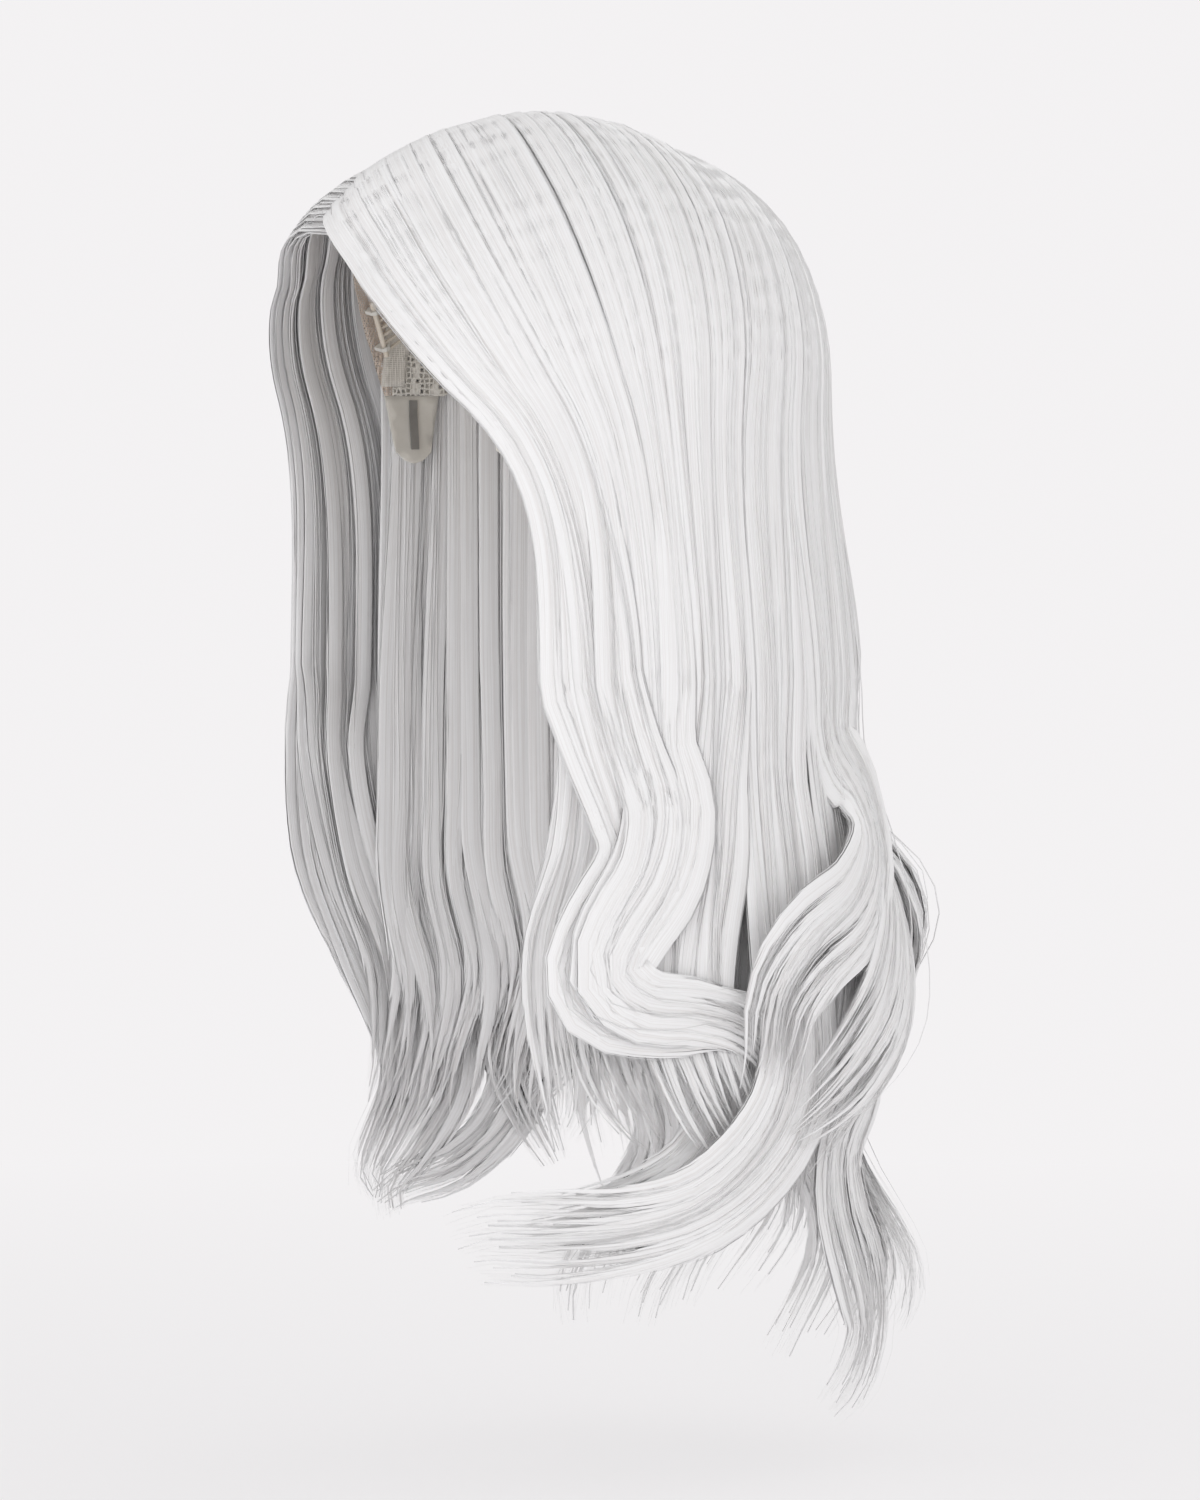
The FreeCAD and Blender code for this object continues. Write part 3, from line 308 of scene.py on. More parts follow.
def lift_of(ring, way):
    """How far the front hair stands up from the hairline."""
    centres = RING_LEFT - (np.arange(len(TOP_LOCKS)) + 0.5) * (RING_LEFT - RING_RIGHT) / len(TOP_LOCKS)
    lift = np.interp(ring, centres[::-1], [lock[2] for lock in TOP_LOCKS][::-1])
    return lift * smooth((way - 0.1) / 0.14) * (1 - smooth((way - 0.25) / 0.3))


def seen_at(across, down, out):
    """The point that the photographed view shows at a pixel, so many mm out of the cap."""
    reach = (across - MIDDLE_PIXEL[0]) * METRES_PER_PIXEL
    near, out = math.copysign(1, out), abs(out) / 1000
    side = math.sin(math.radians(90 - CAMERA_TURN)) * (HALF_WIDTH + out)
    back = math.cos(math.radians(90 - CAMERA_TURN)) * (HALF_LENGTH + out * FULLNESS)
    turn = math.atan2(side, back) + near * math.acos(max(-1.0, min(1.0, reach / math.hypot(side, back))))
    return (
        (HALF_WIDTH + out) * math.sin(turn), (HALF_LENGTH + out * FULLNESS) * math.cos(turn),
        (MIDDLE_PIXEL[1] - down) * METRES_PER_PIXEL,
    )


def curve_through(points, count):
    """Evenly spaced places on a smooth curve through points of any size, and the length of the curve."""
    points = np.asarray(points, float)
    padded = np.vstack([2 * points[0] - points[1], points, 2 * points[-1] - points[-2]])
    found = []
    for a, b, c, d in zip(padded, padded[1:], padded[2:], padded[3:]):
        t = np.linspace(0, 1, 24, endpoint=False)[:, None]
        found.append(0.5 * (
            2 * b + (c - a) * t + (2 * a - 5 * b + 4 * c - d) * t ** 2 + (3 * b - a - 3 * c + d) * t ** 3
        ))
    found = np.vstack([*found, points[-1:]])
    steps = np.r_[0, np.cumsum(np.linalg.norm(np.diff(found[:, :3], axis=0), axis=1))]
    at = np.linspace(0, steps[-1], count)
    return np.stack([np.interp(at, steps, found[:, i]) for i in range(found.shape[1])], -1), steps[-1]


# ---------------------------------------------------------------- tubes that become wisps and strands

def tube_stack(name, sides, rings, count):
    """A mesh of many closed tubes side by side along X, one unit long along Z."""
    bm = bmesh.new()
    bmesh.ops.create_cone(bm, cap_ends=True, segments=sides, radius1=1, radius2=1, depth=1)
    upright = [e for e in bm.edges if abs(e.verts[0].co.z - e.verts[1].co.z) > 0.5]
    bmesh.ops.subdivide_edges(bm, edges=upright, cuts=rings - 1, use_grid_fill=True)
    mesh = bpy.data.meshes.new(name)
    bm.to_mesh(mesh)
    bm.free()
    for polygon in mesh.polygons:
        polygon.use_smooth = True
    holder = bpy.data.objects.new(name, mesh)
    bpy.context.scene.collection.objects.link(holder)
    row = holder.modifiers.new("row", "ARRAY")
    row.use_relative_offset = False
    row.use_constant_offset = True
    row.constant_offset_displace = (TUBE_SPACING, 0, 0)
    row.count = count
    stacked = bpy.data.meshes.new_from_object(holder.evaluated_get(bpy.context.evaluated_depsgraph_get()))
    bpy.data.objects.remove(holder)
    bpy.data.meshes.remove(mesh)
    return stacked


def lay_hair(name, sides, lines, half_width, half_depth, twist=0.0):
    """Tubes laid along lines. Lines are (tubes, places, 3), the half sizes (tubes, places)."""
    count, places = lines.shape[:2]
    mesh = tube_stack(name, sides, places - 1, count)
    co = np.empty(len(mesh.vertices) * 3, np.float32)
    mesh.vertices.foreach_get("co", co)
    co = co.reshape(-1, 3).astype(float)
    tube = np.round(co[:, 0] / TUBE_SPACING).astype(int)
    across, outward = co[:, 0] - tube * TUBE_SPACING, co[:, 1]
    at = np.round((co[:, 2] + 0.5) * (places - 1)).astype(int)

    tangent = unit(np.gradient(lines, axis=1))
    out = np.stack([
        lines[..., 0] / HALF_WIDTH ** 2, lines[..., 1] / HALF_LENGTH ** 2, np.maximum(lines[..., 2], 0) / HEIGHT ** 2
    ], -1)
    side = unit(np.cross(tangent, out))
    out = np.cross(side, tangent)
    turned = np.broadcast_to(twist, lines.shape[:2])[..., None]
    side, out = side * np.cos(turned) + out * np.sin(turned), out * np.cos(turned) - side * np.sin(turned)
    step = np.linalg.norm(np.diff(lines, axis=1), axis=2)
    travelled = np.concatenate([np.zeros((count, 1)), np.cumsum(step, 1)], 1)
    wide = half_width[tube, at] * across
    spot = lines[tube, at] + side[tube, at] * wide[:, None]
    spot += out[tube, at] * (half_depth[tube, at] * outward)[:, None]
    kept = np.stack([wide, travelled[tube, at], tube * 0.37], -1)
    mesh.vertices.foreach_set("co", spot.astype(np.float32).ravel())
    # what the hair's finish reads: across, along and tube number, and how near a wisp's edge or tip
    flow = mesh.attributes.new("flow", "FLOAT_VECTOR", "POINT")
    flow.data.foreach_set("vector", kept.astype(np.float32).ravel())
    loose = np.abs(across) * (sides > 3) + smooth((at / (places - 1) - 0.72) / 0.28) * 0.5
    edge = mesh.attributes.new("edge", "FLOAT", "POINT")
    edge.data.foreach_set("value", loose.astype(np.float32))
    mesh.update()
    return mesh


def finish_hair(name, meshes, material, node):
    """Meshes of one node as one piece."""
    bm = bmesh.new()
    for mesh in meshes:
        bm.from_mesh(mesh)
    mesh = meshes[0]
    bm.to_mesh(mesh)
    bm.free()
    for other in meshes[1:]:
        bpy.data.meshes.remove(other)
    mesh.name = name
    mesh.materials.append(material)
    piece = bpy.data.objects.new(name, mesh)
    bpy.context.scene.collection.objects.link(piece)
    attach(piece, "wig")
    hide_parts(node)
    return piece


def top_lines(ring, reach, layer, places, phase, size, gather, middle):
    """Lines of strands that follow the flow, gathered towards the middle lower down."""
    travelled = np.linspace(0, 1, places)[None, :] * np.broadcast_to(reach, len(ring))[:, None]
    way = np.where(
        travelled < OVER_LENGTH, ROOT_WAY + (1 - ROOT_WAY) * travelled / OVER_LENGTH, 1 + travelled - OVER_LENGTH
    )
    offset, thickness = top_layer(way)
    offset = offset + lift_of(ring[:, None], way) + layer[:, None] * np.maximum(thickness / 2 - 0.0007, 0)
    gathered = middle + (ring[:, None] - middle) * (1 - gather * smooth((way - 1.1) / 0.2))
    return hair_point(gathered, way, offset, phase[:, None], size[:, None]), travelled


def curl_lines(lines, travelled, path, length, middle, offset, across, deep):
    """The same strands, going over into one big curl below the join."""
    run = np.clip((travelled - OVER_LENGTH - JOIN_DROP) / length, 0, 1) * (len(path) - 1)
    low = np.minimum(run.astype(int), len(path) - 2)
    part = (run - low)[..., None]
    centre = path[low, :3] * (1 - part) + path[low + 1, :3] * part
    width = path[low, 3] * (1 - part[..., 0]) + path[low + 1, 3] * part[..., 0]
    tangent = unit(np.gradient(path[:, :3], axis=0))
    out = np.stack([path[:, 0] / HALF_WIDTH ** 2, path[:, 1] / HALF_LENGTH ** 2, np.zeros(len(path))], -1)
    side = unit(np.cross(tangent, out))
    out = np.cross(side, tangent)
    drop = travelled - OVER_LENGTH
    above = hair_point(middle, 1 + np.clip(drop, 0, JOIN_DROP), offset)
    centre = np.where((drop < JOIN_DROP)[..., None], above, centre)
    wander = across[:, None] + 0.1 * np.sin(run / 17 + 6 * across[:, None] + 9 * deep[:, None])
    bundle = centre + side[low] * (width * wander)[..., None]
    bundle += out[low] * (deep[:, None] * 0.0055 * (0.4 + width / 0.028))[..., None]
    share = smooth((drop - 0.02) / (JOIN_DROP - 0.02))[..., None]
    return lines * (1 - share) + bundle * share


def taper_of(places, root, tip):
    """Half sizes along a strand, thin at both ends."""
    along = np.linspace(0, 1, places)[None, :]
    return (root + (1 - root) * smooth(along / 0.05)) * (1 - 0.92 * smooth((along - tip) / (1 - tip)))


def strand_sizes(kind, places, count):
    """Half width and half depth along wisps or strands, and how far each is twisted."""
    if kind == "wisp":
        wide = taper_of(places, 0.45, 0.84) * (WISP_HALF_WIDTH * rng.uniform(0.8, 1.2, count))[:, None]
        deep = taper_of(places, 0.45, 0.84) * np.linspace(WISP_HALF_DEPTH_ROOT, WISP_HALF_DEPTH_TIP, places)[None, :]
        return wide, np.broadcast_to(deep, wide.shape), rng.normal(0, 0.05, (count, 1))
    wide = taper_of(places, 0.5, 0.8) * (STRAND_HALF_WIDTH * rng.uniform(0.7, 1.5, count))[:, None]
    return wide, wide, 0.0


def stray(lines):
    """Single hairs that stand off: most by hardly anything, some by a few millimetres."""
    count, places = lines.shape[:2]
    size = np.where(rng.random(count) < 0.08, rng.normal(0, 0.0035, count), rng.normal(0, 0.0005, count))
    along = np.linspace(0, 1, places)[None, :]
    swing = np.sin(along * 5 + rng.uniform(0, 6, (count, 1))) * smooth(along * 1.3 - 0.15)
    return lines + unit(lines * (1, 1, 0)) * (size[:, None] * swing)[..., None]


def top_hair(number, node, tip):
    """All the hair of one lock from the parting: broad wisps for its body and fine strands over them."""
    step = (RING_LEFT - RING_RIGHT) / len(TOP_LOCKS)
    first = RING_LEFT - number * step
    curls = CURLS.get(node, [None] * CLUMPS)
    offset, _ = top_layer(np.array(1 + JOIN_DROP))
    parts = []
    for clump, curl in enumerate(curls):
        if curl:
            # the curls of a lock start over its whole width, one on top of the other
            middle, half, gather = first - step / 2, step / 2 * 1.12, 0.0
            foot = hair_point(np.array(middle), np.array(1 + JOIN_DROP), offset)
            spots = [(*foot, JOIN_WIDTH), *((*seen_at(*place[:3]), place[3]) for place in curl)]
            path, length = curve_through(spots, CURVE_PLACES)
            low, high = CURL_LAYERS[clump]
            tubes = CURL_TUBES
        else:
            middle, half = first - step * (clump + 0.5) / len(curls), step / len(curls) / 2 * 1.25
            gather, low, high = rng.uniform(0.05, 0.3), -1.0, 1.0
            tubes = CLUMP_TUBES
        phase_of_clump, size_of_clump, tip_of_clump = rng.normal(0, 0.3), rng.uniform(0.8, 1.2), rng.uniform(0.92, 1)
        for kind, count, sides, places in tubes:
            across = np.linspace(-1, 1, count) + rng.normal(0, 0.5 / count, count)
            # every other wisp lies at the top, so that the lock has no gaps; the rest fill it
            on_top = np.arange(count) % 2 == 0 if kind == "wisp" else rng.random(count) < 0.7
            proud = 0.16 if kind == "strand" else -0.05
            deep = np.where(on_top, high + proud * rng.random(count), rng.uniform(low, high, count))
            spread = rng.uniform(0.95 if curl else 0.88, 1.0, count)
            reach = (OVER_LENGTH + JOIN_DROP + length) * spread if curl else OVER_LENGTH + tip * tip_of_clump * spread
            lines, travelled = top_lines(
                middle + across * half, reach, deep, places, phase_of_clump + rng.normal(0, 0.1, count),
                size_of_clump * rng.uniform(0.9, 1.12, count), gather, middle,
            )
            if curl:
                lines = curl_lines(lines, travelled, path, length, middle, offset, across, deep)
            if kind == "strand":
                lines = stray(lines)
            parts.append(lay_hair(f"{node}_{kind}_{clump}", sides, lines, *strand_sizes(kind, places, count)))
    return finish_hair(node + "_hair", parts, HAIR, node)


def weft_hair(number, node, tip):
    """The hair of one lock that the wefts carry."""
    step = (WEFT_RING_LEFT - WEFT_RING_RIGHT) / len(WEFT_LOCKS)
    first = WEFT_RING_LEFT - number * step
    over = WEFT_RISE / DEGREES_PER_RADIAN * HEIGHT
    parts = []
    for kind, count, sides, places in WEFT_TUBES:
        across = np.linspace(-1.04, 1.04, count) + rng.normal(0, 0.6 / count, count)
        rng.shuffle(across)
        deep = rng.uniform(-1, 1, count)
        reach = over + tip * rng.uniform(0.86, 1.0, count)
        travelled = np.linspace(0, 1, places)[None, :] * reach[:, None]
        way = np.where(travelled < over, -WEFT_RISE * (1 - travelled / over), travelled - over)
        offset, thickness = weft_layer(way)
        offset = offset + deep[:, None] * (thickness / 2 - 0.0008)
        ring = (first - step / 2 - across * step / 2)[:, None]
        ring = ring + 1.5 * np.sin(3 * np.linspace(0, 1, places)[None, :] + 9 * deep[:, None])
        phase = rng.normal(1.0, 0.5, (count, 1)) + 0.05 * ring
        lines = weft_point(ring, way, offset, phase, rng.uniform(0.7, 1.3, (count, 1)))
        parts.append(lay_hair(f"{node}_{kind}", sides, lines, *strand_sizes(kind, places, count)))
    return finish_hair(node + "_hair", parts, SHADED_UNDER_HAIR, node)


# ---------------------------------------------------------------- materials

def new_material(name):
    """A new material, its nodes and links, and its shader."""
    material = bpy.data.materials.new(name)
    material.use_nodes = True
    nodes, links = material.node_tree.nodes, material.node_tree.links
    return material, nodes, links, nodes["Principled BSDF"]


def new_group(name, inputs, outputs):
    """A node group with named numbers going in and out."""
    group = bpy.data.node_groups.new(name, "ShaderNodeTree")
    for words, value in inputs:
        group.interface.new_socket(words, in_out="INPUT", socket_type="NodeSocketFloat").default_value = value
    for words in outputs:
        group.interface.new_socket(words, in_out="OUTPUT", socket_type="NodeSocketFloat")
    return group, group.nodes, group.links, group.nodes.new("NodeGroupInput"), group.nodes.new("NodeGroupOutput")


def math_node(nodes, links, operation, *values):
    """A Math node fed by sockets and numbers."""
    node = nodes.new("ShaderNodeMath")
    node.operation = operation
    for place, value in zip(node.inputs, values):
        if isinstance(value, bpy.types.NodeSocket):
            links.new(value, place)
        else:
            place.default_value = value
    return node.outputs[0]


def map_range(nodes, links, value, start, end):
    """A Map Range node from one pair of numbers to another."""
    node = nodes.new("ShaderNodeMapRange")
    node.inputs["From Min"].default_value, node.inputs["From Max"].default_value = start
    node.inputs["To Min"].default_value, node.inputs["To Max"].default_value = end
    links.new(value, node.inputs["Value"])
    return node.outputs["Result"]


def noise_node(nodes, links, vector, scale, detail):
    """A noise texture whose scale is a socket or a number."""
    noise = nodes.new("ShaderNodeTexNoise")
    noise.inputs["Detail"].default_value = detail
    links.new(vector, noise.inputs["Vector"])
    if isinstance(scale, bpy.types.NodeSocket):
        links.new(scale, noise.inputs["Scale"])
    else:
        noise.inputs["Scale"].default_value = scale
    return noise


def colour_and_relief(nodes, links, shader, shade, height, ramp_ends, strength, distance):
    """Colour from a mask over a ramp of (position, colour) ends, and a bump from a height."""
    ramp = nodes.new("ShaderNodeValToRGB")
    for element, (position, colour) in zip(ramp.color_ramp.elements, ramp_ends):
        element.position, element.color = position, (*colour, 1)
    links.new(shade, ramp.inputs["Fac"])
    links.new(ramp.outputs["Color"], shader.inputs["Base Color"])
    relief = nodes.new("ShaderNodeBump")
    relief.inputs["Strength"].default_value = strength
    relief.inputs["Distance"].default_value = distance
    links.new(height, relief.inputs["Height"])
    links.new(relief.outputs["Normal"], shader.inputs["Normal"])


def streak_group():
    """Fine streaks along the hair, and where the fibres at a wisp's edges and tip part from each other."""
    group, nodes, links, inside, outside = new_group(
        "hair_streaks", [("Across", 900), ("Along", 9)], ["Streaks", "Fibre"]
    )
    flow = nodes.new("ShaderNodeAttribute")
    flow.attribute_name = "flow"
    split = nodes.new("ShaderNodeSeparateXYZ")
    links.new(flow.outputs["Vector"], split.inputs[0])
    scaled = nodes.new("ShaderNodeCombineXYZ")
    for source, factor in (("X", "Across"), ("Y", "Along")):
        times = math_node(nodes, links, "MULTIPLY", split.outputs[source], inside.outputs[factor])
        links.new(times, scaled.inputs[source])
    links.new(split.outputs["Z"], scaled.inputs["Z"])
    noise = noise_node(nodes, links, scaled.outputs[0], 1.0, 4.0)
    noise.inputs["Roughness"].default_value = 0.62
    links.new(noise.outputs["Fac"], outside.inputs["Streaks"])
    edge = nodes.new("ShaderNodeAttribute")
    edge.attribute_name = "edge"
    limit = map_range(nodes, links, edge.outputs["Fac"], (0.4, 1.3), (0.22, 0.66))
    links.new(math_node(nodes, links, "GREATER_THAN", noise.outputs["Fac"], limit), outside.inputs["Fibre"])
    return group


def weave_group():
    """Threads that cross. Scale is threads per metre; Height and Shade are 0 to 1."""
    group, nodes, links, inside, outside = new_group("cloth_weave", [("Scale", 1000)], ["Height", "Shade"])
    place = nodes.new("ShaderNodeTexCoord")
    # a wave texture of scale 1 has one wave in 0.314 m
    scale = math_node(nodes, links, "MULTIPLY", inside.outputs["Scale"], 0.314)
    waves = []
    for axis in "XYZ":
        wave = nodes.new("ShaderNodeTexWave")
        wave.bands_direction = axis
        wave.inputs["Distortion"].default_value = 0.6
        wave.inputs["Detail"].default_value = 1.0
        links.new(place.outputs["Object"], wave.inputs["Vector"])
        links.new(scale, wave.inputs["Scale"])
        waves.append(wave.outputs["Fac"])
    flat = math_node(nodes, links, "MULTIPLY", waves[0], waves[1])
    total = math_node(nodes, links, "ADD", math_node(nodes, links, "MAXIMUM", flat, waves[2]), flat)
    links.new(math_node(nodes, links, "MULTIPLY", total, 0.5), outside.inputs["Height"])
    clouds = noise_node(nodes, links, place.outputs["Object"], 60, 5).outputs["Fac"]
    faint = math_node(nodes, links, "MULTIPLY", clouds, 0.6)
    links.new(math_node(nodes, links, "MULTIPLY_ADD", total, 0.25, faint), outside.inputs["Shade"])
    return group


def grain_group():
    """Fine grain and faint clouds for moulded and drawn parts. Scale is grains per metre."""
    group, nodes, links, inside, outside = new_group("fine_grain", [("Scale", 2000)], ["Height", "Shade"])
    place = nodes.new("ShaderNodeTexCoord")
    for words, scale, detail in (("Height", inside.outputs["Scale"], 3), ("Shade", 90, 5)):
        noise = noise_node(nodes, links, place.outputs["Object"], scale, detail)
        links.new(noise.outputs["Fac"], outside.inputs[words])
    return group


def mesh_group():
    """The holes of lace or net. Scale is holes per metre, Thread how much of a hole's width its thread takes."""
    group, nodes, links, inside, outside = new_group(
        "net_holes", [("Scale", 800), ("Thread", 0.2)], ["Thread", "Height"]
    )
    place = nodes.new("ShaderNodeTexCoord")
    cells = nodes.new("ShaderNodeTexVoronoi")
    cells.feature = "DISTANCE_TO_EDGE"
    cells.inputs["Randomness"].default_value = 0.35
    links.new(place.outputs["Object"], cells.inputs["Vector"])
    links.new(inside.outputs["Scale"], cells.inputs["Scale"])
    far = math_node(nodes, links, "DIVIDE", cells.outputs["Distance"], inside.outputs["Thread"])
    height = nodes.new("ShaderNodeClamp")
    links.new(math_node(nodes, links, "SUBTRACT", 1.0, far), height.inputs["Value"])
    links.new(height.outputs[0], outside.inputs["Height"])
    links.new(math_node(nodes, links, "GREATER_THAN", height.outputs[0], 0.02), outside.inputs["Thread"])
    return group


STREAKS, WEAVE, GRAIN, HOLES = streak_group(), weave_group(), grain_group(), mesh_group()


def hair_material(name, light, dark):
    """Silky fibre hair between a light and a dark colour."""
    material, nodes, links, shader = new_material(name)
    streaks = nodes.new("ShaderNodeGroup")
    streaks.node_tree = STREAKS
    streaks.inputs["Across"].default_value = 1300
    streaks.inputs["Along"].default_value = 7
    lines = streaks.outputs["Streaks"]
    colour_and_relief(nodes, links, shader, lines, lines, ((0.34, dark), (0.56, light)), 0.5, 0.0004)
    links.new(streaks.outputs["Fibre"], shader.inputs["Alpha"])
    shader.inputs["Roughness"].default_value = 0.38
    shader.inputs["Specular IOR Level"].default_value = 0.5
    shader.inputs["Sheen Weight"].default_value = 0.2
    return material


def detailed(name, group, values, light, dark, relief, roughness, sheen=0.0, metal=0.0):
    """A finish whose colour, roughness and bump come from one of the shared effects."""
    material, nodes, links, shader = new_material(name)
    effect = nodes.new("ShaderNodeGroup")
    effect.node_tree = group
    for words, value in values.items():
        effect.inputs[words].default_value = value
    shade = effect.outputs["Shade"] if "Shade" in effect.outputs else effect.outputs["Height"]
    ends = ((0.25, dark), (0.75, light))
    colour_and_relief(nodes, links, shader, shade, effect.outputs["Height"], ends, 0.7, relief)
    rough = map_range(nodes, links, shade, (0, 1), (roughness + 0.08, roughness - 0.08))
    links.new(rough, shader.inputs["Roughness"])
    if sheen:
        shader.inputs["Sheen Weight"].default_value = sheen
    if metal:
        shader.inputs["Metallic"].default_value = metal
    if "Thread" in effect.outputs:
        links.new(effect.outputs["Thread"], shader.inputs["Alpha"])
    return material


# name, effect and its values, light and dark colour, depth of the relief, roughness, sheen, metal
FINISHES = {
    "lace": ("lace_skin_tone", HOLES, {"Scale": 900, "Thread": 0.16},
             (0.86, 0.74, 0.64), (0.72, 0.58, 0.48), 0.0002, 0.7, 0.3),
    "net": ("stretch_net", HOLES, {"Scale": 420, "Thread": 0.22},
            (0.86, 0.83, 0.77), (0.68, 0.64, 0.58), 0.0003, 0.65, 0.3),
    "band": ("velvet_band", GRAIN, {"Scale": 3500}, (0.87, 0.83, 0.76), (0.74, 0.7, 0.63), 0.0004, 0.85, 0.9),
    "tape": ("woven_tape", WEAVE, {"Scale": 1100}, (0.87, 0.83, 0.77), (0.66, 0.62, 0.56), 0.0003, 0.75, 0.3),
    "weft_seam": ("stitched_weft", WEAVE, {"Scale": 640}, (0.92, 0.91, 0.9), (0.66, 0.65, 0.64), 0.0005, 0.6, 0.3),
    "skin": ("parting_silk", GRAIN, {"Scale": 5200}, (0.9, 0.76, 0.66), (0.78, 0.62, 0.52), 0.0001, 0.55, 0.1),
    "thread": ("sewing_thread", WEAVE, {"Scale": 2600}, (0.9, 0.88, 0.83), (0.7, 0.67, 0.61), 0.0002, 0.6, 0.3),
    "elastic": ("ribbed_elastic", WEAVE, {"Scale": 800}, (0.88, 0.86, 0.81), (0.62, 0.6, 0.55), 0.0005, 0.7, 0.2),
    "hook": ("moulded_hook", GRAIN, {"Scale": 1400}, (0.87, 0.86, 0.82), (0.8, 0.79, 0.74), 0.00005, 0.32),
    "comb": ("moulded_comb", GRAIN, {"Scale": 1600}, (0.82, 0.75, 0.66), (0.72, 0.64, 0.54), 0.00004, 0.28),
    "steel": ("spring_steel", GRAIN, {"Scale": 2600},
              (0.62, 0.62, 0.63), (0.45, 0.45, 0.46), 0.00003, 0.34, 0.0, 1.0),
}
CAP_FINISHES = {slot: detailed(*finish) for slot, finish in FINISHES.items()}

HAIR = hair_material("hair_white", (0.945, 0.94, 0.945), (0.84, 0.82, 0.815))
# the hair that the wefts carry, under the top hair, gets both colours a little darker: painted shade for the hair
# lying underneath
SHADED_UNDER_HAIR = hair_material("under_hair_white_painted_shade", (0.94, 0.935, 0.94), (0.83, 0.81, 0.805))


# ---------------------------------------------------------------- the cap

def egg_planes():
    """Outward normals and distances of the flat facets that the source gives the cap."""
    rise = np.radians(LOWEST_BAND + np.arange(BANDS + 1) * (90 - LOWEST_BAND) / BANDS)[:, None]
    turn = (2 * np.pi * (np.arange(FACETS) + 0.5) / FACETS)[None, :]
    rings = np.stack(np.broadcast_arrays(
        (HALF_WIDTH + NET_MIDDLE) * np.cos(rise) * np.sin(turn),
        (HALF_LENGTH + NET_MIDDLE) * np.cos(rise) * np.cos(turn), (HEIGHT + NET_MIDDLE) * np.sin(rise),
    ), -1)
    lower, beside, upper = rings[:-1], np.roll(rings[:-1], -1, axis=1), rings[1:]
    normal = unit(np.cross(upper - lower, beside - lower).reshape(-1, 3))
    reach = np.sum(normal * lower.reshape(-1, 3), -1)
    return normal * np.sign(reach)[:, None], np.abs(reach)


FACET_NORMALS, FACET_REACH = egg_planes()


def rounded(points):
    """Points of the faceted cap moved out onto the smooth form that it follows."""
    way = unit(points)
    facing = way @ FACET_NORMALS.T
    flat = np.min(np.where(facing > 1e-6, FACET_REACH / np.maximum(facing, 1e-6), 9.0), axis=1)
    axes = np.array([HALF_WIDTH + NET_MIDDLE, HALF_LENGTH + NET_MIDDLE, HEIGHT + NET_MIDDLE])
    full = 1 / np.linalg.norm(way / axes, axis=1)
    fade = smooth((way[:, 2] + 0.75) / 0.12)
    return points * (1 + (full / flat - 1) * fade)[:, None]


CLOTH_SLOTS = ("lace", "net", "band", "tape", "skin", "weft_seam")
# a cloth part is divided until its edges are shorter than this
CLOTH_EDGE, ELASTIC_EDGE = 0.006, 0.004


def cap_piece(node, slot, body="wig", longest=CLOTH_EDGE, round_off=True):
    """A cloth part of the cap: the node's form, divided until no edge is too long, and rounded."""
    bm = bmesh.new()
    bm.from_mesh(frame["nodes"][node].data)
    bmesh.ops.remove_doubles(bm, verts=bm.verts, dist=2e-6)
    for _ in range(4):
        long = [e for e in bm.edges if e.calc_length() > longest]
        if not long:
            break
        bmesh.ops.subdivide_edges(bm, edges=long, cuts=1)
        bmesh.ops.triangulate(bm, faces=[f for f in bm.faces if len(f.verts) > 3])
    mesh = bpy.data.meshes.new(node + "_cloth")
    bm.to_mesh(mesh)
    bm.free()
    if round_off:
        co = np.empty(len(mesh.vertices) * 3, np.float32)
        mesh.vertices.foreach_get("co", co)
        co = rounded(co.reshape(-1, 3).astype(float))
        mesh.vertices.foreach_set("co", co.astype(np.float32).ravel())
    mesh.polygons.foreach_set("use_smooth", [True] * len(mesh.polygons))
    mesh.set_sharp_from_angle(angle=math.radians(38))
    mesh.materials.append(CAP_FINISHES[slot])
    piece = bpy.data.objects.new(node + "_cloth", mesh)
    bpy.context.scene.collection.objects.link(piece)
    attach(piece, body)
    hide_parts(node)
    return piece


for sub_part in frame["record"]["subparts"]:
    node, slot = sub_part["node"], sub_part["material_slot"]
    if slot in CLOTH_SLOTS:
        cap_piece(node, slot)
    elif slot == "elastic":
        cap_piece(node, slot, "adjuster_" + node.rsplit("_", 1)[1], ELASTIC_EDGE, False)
    elif slot in CAP_FINISHES:
        place = frame["nodes"][node].data.materials
        if place:
            place[0] = CAP_FINISHES[slot]
        else:
            place.append(CAP_FINISHES[slot])

# ---------------------------------------------------------------- the hair

for number, (node, tip, _) in enumerate(TOP_LOCKS):
    top_hair(number, node, tip)
for number, (node, tip) in enumerate(WEFT_LOCKS):
    weft_hair(number, node, tip)

# ---------------------------------------------------------------- floor, light, camera

FLOOR_SIZE, FLOOR_GAP = 6, 0.02
floor_place = Matrix.Translation((0, 0, cad_low.z - FLOOR_GAP))
floor_mesh = bpy.data.meshes.new("floor")
bm = bmesh.new()
bmesh.ops.create_grid(bm, x_segments=1, y_segments=1, size=FLOOR_SIZE, matrix=floor_place)
bm.to_mesh(floor_mesh)
bm.free()
floor = bpy.data.objects.new("floor", floor_mesh)
bpy.context.scene.collection.objects.link(floor)


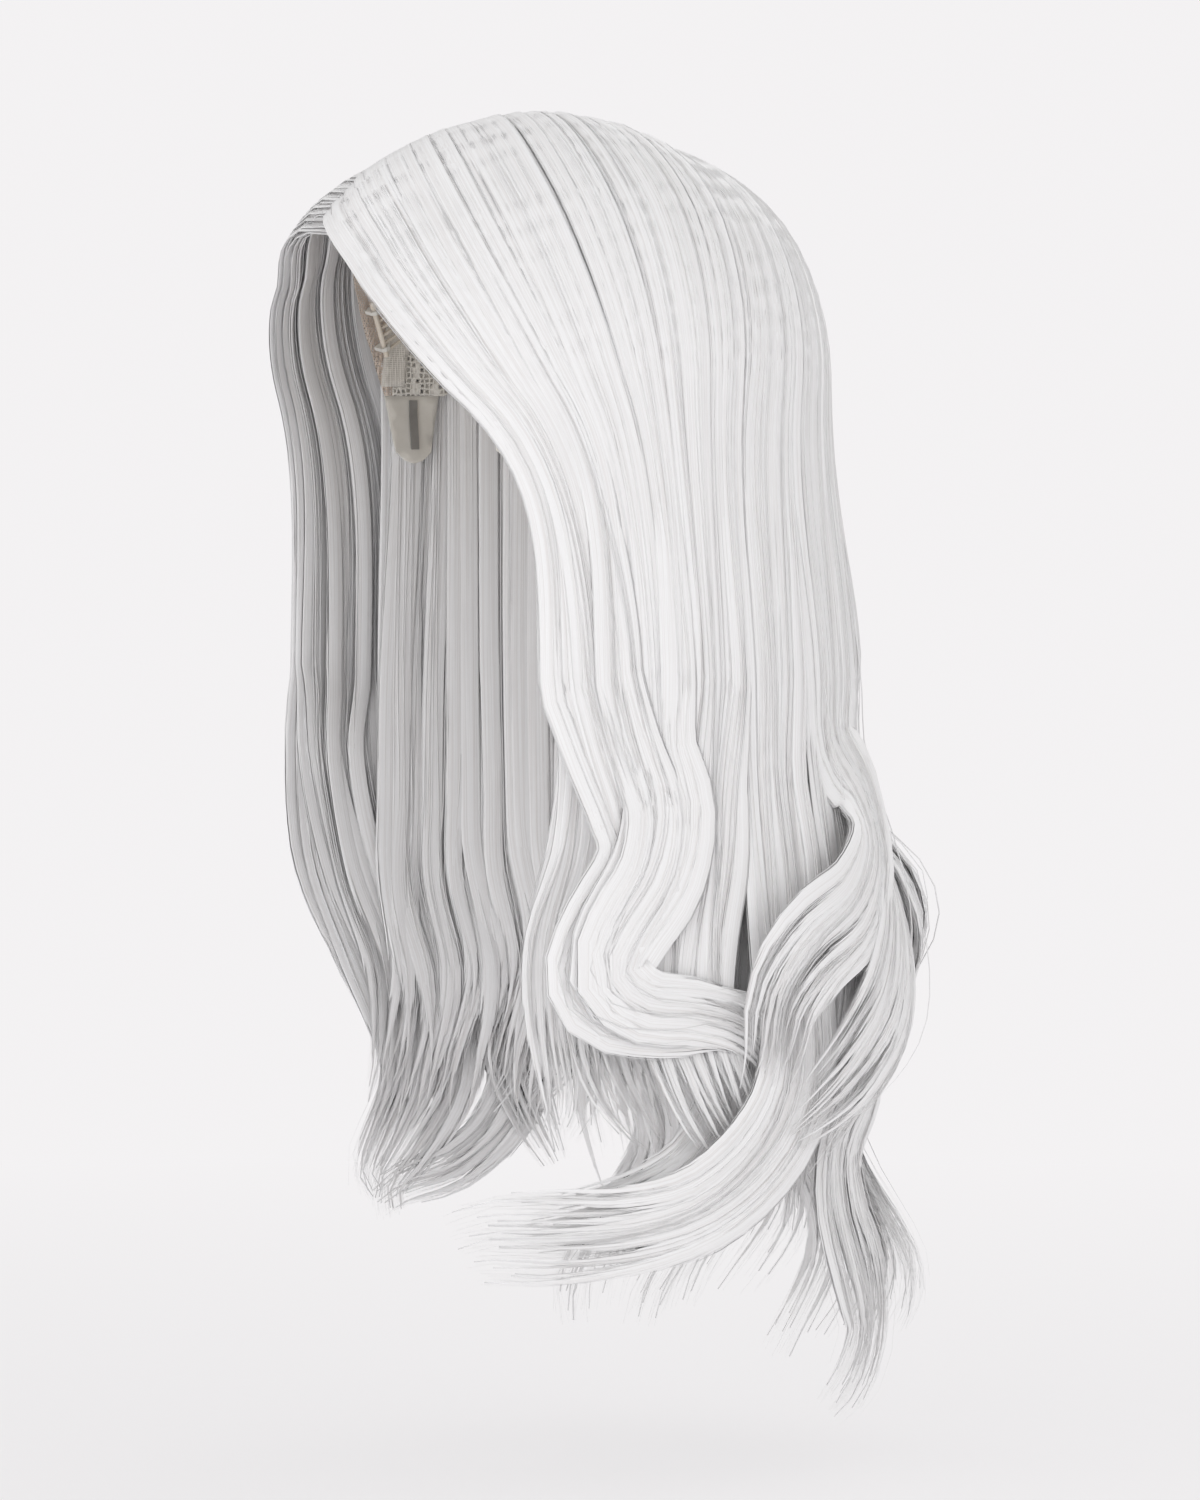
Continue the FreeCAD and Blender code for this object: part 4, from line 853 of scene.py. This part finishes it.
def bright_to_camera(nodes, links, lit, seen, output, share=1.0):
    """Camera, mirror and glass rays see an even pale colour; the light that falls on the object doesn't change."""
    path = nodes.new("ShaderNodeLightPath")
    first = math_node(nodes, links, "MAXIMUM", path.outputs["Is Camera Ray"], path.outputs["Is Glossy Ray"])
    second = math_node(nodes, links, "MAXIMUM", first, path.outputs["Is Transmission Ray"])
    mix = nodes.new("ShaderNodeMixShader")
    links.new(math_node(nodes, links, "MULTIPLY", second, share), mix.inputs[0])
    links.new(lit, mix.inputs[1])
    links.new(seen, mix.inputs[2])
    links.new(mix.outputs[0], output)


BACKDROP = (0.9, 0.885, 0.893, 1)
material, nodes, links, shader = new_material("floor_white")
shader.inputs["Base Color"].default_value = (0.9, 0.89, 0.9, 1)
shader.inputs["Roughness"].default_value = 0.9
glow = nodes.new("ShaderNodeEmission")
glow.inputs["Color"].default_value = BACKDROP
place = nodes.new("ShaderNodeTexCoord")
far = nodes.new("ShaderNodeVectorMath")
far.operation = "LENGTH"
links.new(place.outputs["Object"], far.inputs[0])
# near the object the floor shows its own light and shadow, further off it goes over into the backdrop
fade = map_range(nodes, links, far.outputs["Value"], (0.5, 1.5), (0.7, 1.0))
bright_to_camera(nodes, links, shader.outputs[0], glow.outputs[0], nodes["Material Output"].inputs["Surface"], fade)
floor_mesh.materials.append(material)

world = bpy.data.worlds.new("studio")
bpy.context.scene.world = world
world.use_nodes = True
nodes, links = world.node_tree.nodes, world.node_tree.links
background = nodes["Background"]
background.inputs["Color"].default_value = (1, 1, 1, 1)
background.inputs["Strength"].default_value = 0.68
seen = nodes.new("ShaderNodeBackground")
seen.inputs["Color"].default_value = BACKDROP
bright_to_camera(nodes, links, background.outputs[0], seen.outputs[0], nodes["World Output"].inputs["Surface"])


def direction(turn, rise):
    """Unit direction from the object, turned from the front towards the wearer's left."""
    turn, rise = math.radians(turn), math.radians(rise)
    return Vector((math.sin(turn) * math.cos(rise), -math.cos(turn) * math.cos(rise), math.sin(rise)))


def lamp(name, turn, rise, size, power, distance=1.6):
    """A soft square lamp that looks at the middle of the hair."""
    light = bpy.data.lights.new(name, "AREA")
    light.size = size
    light.energy = power
    o = bpy.data.objects.new(name, light)
    bpy.context.scene.collection.objects.link(o)
    away = direction(turn, rise)
    o.location = Vector((0, 0.02, -0.1)) + away * distance
    o.rotation_mode = "QUATERNION"
    o.rotation_quaternion = away.to_track_quat("Z", "Y")


lamp("key", 20, 38, 1.2, 1.6)
lamp("front", 52, 0, 0.8, 4.2)
lamp("side", 120, 12, 1.0, 2.5)
lamp("back", 215, 30, 1.2, 3)

back = direction(CAMERA_TURN, CAMERA_RISE)
right = Vector((math.cos(math.radians(CAMERA_TURN)), math.sin(math.radians(CAMERA_TURN)), 0))
up = back.cross(right)
camera_data = bpy.data.cameras.new("camera")
camera = bpy.data.objects.new("camera", camera_data)
bpy.context.scene.collection.objects.link(camera)
bpy.context.scene.camera = camera
aside, down = PHOTO_WIDTH / 2 - MIDDLE_PIXEL[0], PHOTO_HEIGHT / 2 - MIDDLE_PIXEL[1]
middle = right * (aside * METRES_PER_PIXEL) - up * (down * METRES_PER_PIXEL)
camera.location = middle + back * CAMERA_DISTANCE
camera.rotation_mode = "QUATERNION"
camera.rotation_quaternion = back.to_track_quat("Z", "Y")
camera_data.sensor_fit = "VERTICAL"
camera_data.sensor_height = SENSOR
camera_data.lens = SENSOR * CAMERA_DISTANCE / (PHOTO_HEIGHT * METRES_PER_PIXEL)

bpy.context.scene.view_settings.view_transform = "Standard"
